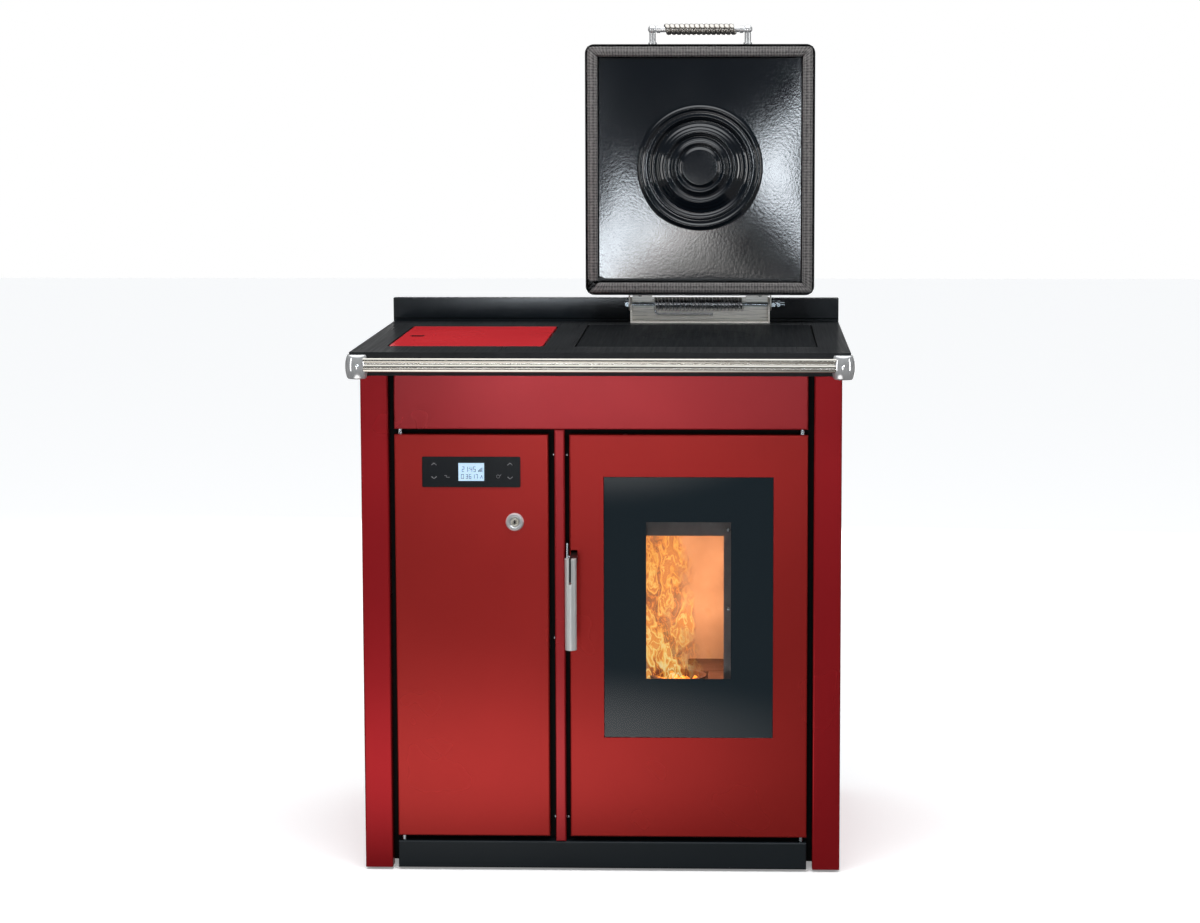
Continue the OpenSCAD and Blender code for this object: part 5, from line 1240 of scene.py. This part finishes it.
# centre x, y, half width, half depth and brightness of the glowing patches that shiny faces see on the floor: painted
# reflections, which light nothing
FLOOR_SHINE_PATCHES = ((-0.26, -9.6, 0.44, 2.4, 9.5), (-0.22, -6.4, 0.50, 1.6, 3.0), (-0.31, -1.12, 0.60, 0.66, 2.0))
FLOOR_GLOW = 0.15


def soft_box(name, place, aim, size, radiance, colour, roll):
    """A studio soft box of a stated brightness."""
    light = hang_light(name, "AREA", place, radiance * math.pi * size[0] * size[1], colour)
    light.data.shape = "RECTANGLE"
    light.data.size, light.data.size_y = size
    way = (Vector(aim) - Vector(place)).to_track_quat("-Z", "Y").to_matrix()
    light.rotation_euler = (way @ Matrix.Rotation(math.radians(roll), 3, "Z")).to_euler()
    # the light overhead is two: one for matt faces and a weaker one for shiny ones
    light.visible_glossy = name != "overhead"
    light.visible_diffuse = name != "overhead_shine"


class COOKER_OT_stage(bpy.types.Operator):
    """Lay the pale floor, hang the lights and set the camera"""

    bl_idname = "cooker.stage"
    bl_label = "Stage"

    def execute(self, context):
        scene = context.scene
        bm = bmesh.new()
        bmesh.ops.create_grid(bm, x_segments=1, y_segments=1, size=14.0)
        mesh = bpy.data.meshes.new("floor")
        bm.to_mesh(mesh)
        bm.free()
        mesh.materials.append(self.floor_finish())
        floor = bpy.data.objects.new("floor", mesh)
        scene.collection.objects.link(floor)

        scene.world = self.studio_world()
        for box in SOFT_BOXES:
            soft_box(*box)

        lens = bpy.data.cameras.new("photo")
        lens.sensor_width = 36.0
        lens.lens = 85.7
        lens.shift_x, lens.shift_y = -0.05, -0.05125
        lens.clip_end = 60.0
        camera = bpy.data.objects.new("photo", lens)
        camera.location = (0.2253, -4.8655, 1.2895)
        camera.rotation_euler = (1.4601, 0.0009, 0.0281)
        scene.collection.objects.link(camera)
        scene.camera = camera
        scene.view_settings.view_transform = "Standard"
        scene.view_settings.look = "None"
        return {"FINISHED"}

    def floor_finish(self):
        """Pale to the eye; shiny faces see a dim floor that glows in soft patches: painted reflections, like a
        studio's lights.
        """
        pale = Finish("floor_pale", Base_Color=tuple(colours().floor), Roughness=0.9, Specular_IOR_Level=0.0,
                      Emission_Color=(1.0, 1.0, 1.0), Emission_Strength=0.25)
        glow = FLOOR_GLOW
        for x, y, wide, deep, bright in FLOOR_SHINE_PATCHES:
            patch = pale.node("Mapping", [("Vector", pale.place()), ("Location", (-x / wide, -y / deep, 0)),
                                          ("Scale", (1 / wide, 1 / deep, 1))]).outputs[0]
            far = pale.node("VectorMath", [(0, patch)], operation="LENGTH").outputs["Value"]
            soft = pale.span(far, 0.25, 1.35, bright, 0.0, interpolation_type="SMOOTHSTEP")
            glow = pale.math("ADD", soft, glow)
        # painted reflections: a glow that only shiny faces see
        shine = pale.node("Emission", [("Strength", glow), ("Color", (1.0, 0.97, 0.95, 1))]).outputs[0]
        dim = pale.node("BsdfDiffuse", [("Color", (0.30, 0.30, 0.30, 1))]).outputs[0]
        ray = pale.node("LightPath").outputs
        unseen = pale.node("MixShader", [(0, ray["Is Glossy Ray"]), (1, dim), (2, shine)]).outputs[0]
        mix = pale.node("MixShader", [(0, ray["Is Camera Ray"]), (1, unseen), (2, pale.shader.outputs[0])])
        pale.tree.links.new(mix.outputs[0], pale.tree.nodes["Material Output"].inputs[0])
        return pale.material

    def studio_world(self):
        """White to the eye, and to everything else a studio with a bright ceiling and dim walls."""
        world = bpy.data.worlds.new("studio")
        world.use_nodes = True
        room = Maker(world.node_tree)
        way = room.node("SeparateXYZ", [(0, room.node("TexCoord").outputs["Generated"])]).outputs
        ceiling = room.span(way[2], 0.46, 0.82, 0.0, 1.25, interpolation_type="SMOOTHSTEP")
        behind = room.span(way[1], -0.2, 0.6, 0.09, 0.02)
        ray = room.node("LightPath").outputs
        # shiny things see a brighter ceiling than the one that lights the room
        shown = room.math("MULTIPLY_ADD", ray["Is Glossy Ray"], 0.5, 1.0)
        total = room.math("ADD", room.math("MULTIPLY", ceiling, shown), behind)
        lit = room.node("Background", [("Color", (0.96, 0.98, 1.0, 1)), ("Strength", total)]).outputs[0]
        seen = room.tree.nodes["Background"]
        seen.inputs["Color"].default_value = (1, 1, 1, 1)
        mix = room.node("MixShader", [(0, ray["Is Camera Ray"]), (1, lit), (2, seen.outputs[0])])
        room.tree.links.new(mix.outputs[0], room.tree.nodes["World Output"].inputs[0])
        return world


class COOKER_PT_pieces(bpy.types.Panel):
    """Lists the cooker's sizes, colours and pieces"""

    bl_idname = "COOKER_PT_pieces"
    bl_label = "Range cooker"
    bl_space_type = "VIEW_3D"
    bl_region_type = "UI"
    bl_category = "Cooker"

    def draw(self, context):
        for group in (context.scene.cooker_sizes, context.scene.cooker_colours):
            box = self.layout.box()
            for key in group.__annotations__:
                box.prop(group, key)
        for step in STEPS:
            self.layout.operator(step.bl_idname)


STEPS = (
    COOKER_OT_finishes,
    COOKER_OT_stage,
    COOKER_OT_cabinet,
    COOKER_OT_worktop,
    COOKER_OT_rail,
    COOKER_OT_hopper,
    COOKER_OT_cover,
    COOKER_OT_hinge,
    COOKER_OT_cover_handle,
    COOKER_OT_technical_door,
    COOKER_OT_fire_door,
    COOKER_OT_fire,
    COOKER_OT_door_handle,
)
CLASSES = (CookerSizes, CookerColours, *STEPS, COOKER_PT_pieces)


def register():
    for cls in CLASSES:
        bpy.utils.register_class(cls)
    bpy.types.Scene.cooker_sizes = bpy.props.PointerProperty(type=CookerSizes)
    bpy.types.Scene.cooker_colours = bpy.props.PointerProperty(type=CookerColours)


def unregister():
    del bpy.types.Scene.cooker_colours
    del bpy.types.Scene.cooker_sizes
    for cls in reversed(CLASSES):
        bpy.utils.unregister_class(cls)


def main():
    register()
    for step in STEPS:
        group, name = step.bl_idname.split(".")
        getattr(getattr(bpy.ops, group), name)()


if __name__ == "__main__":
    main()
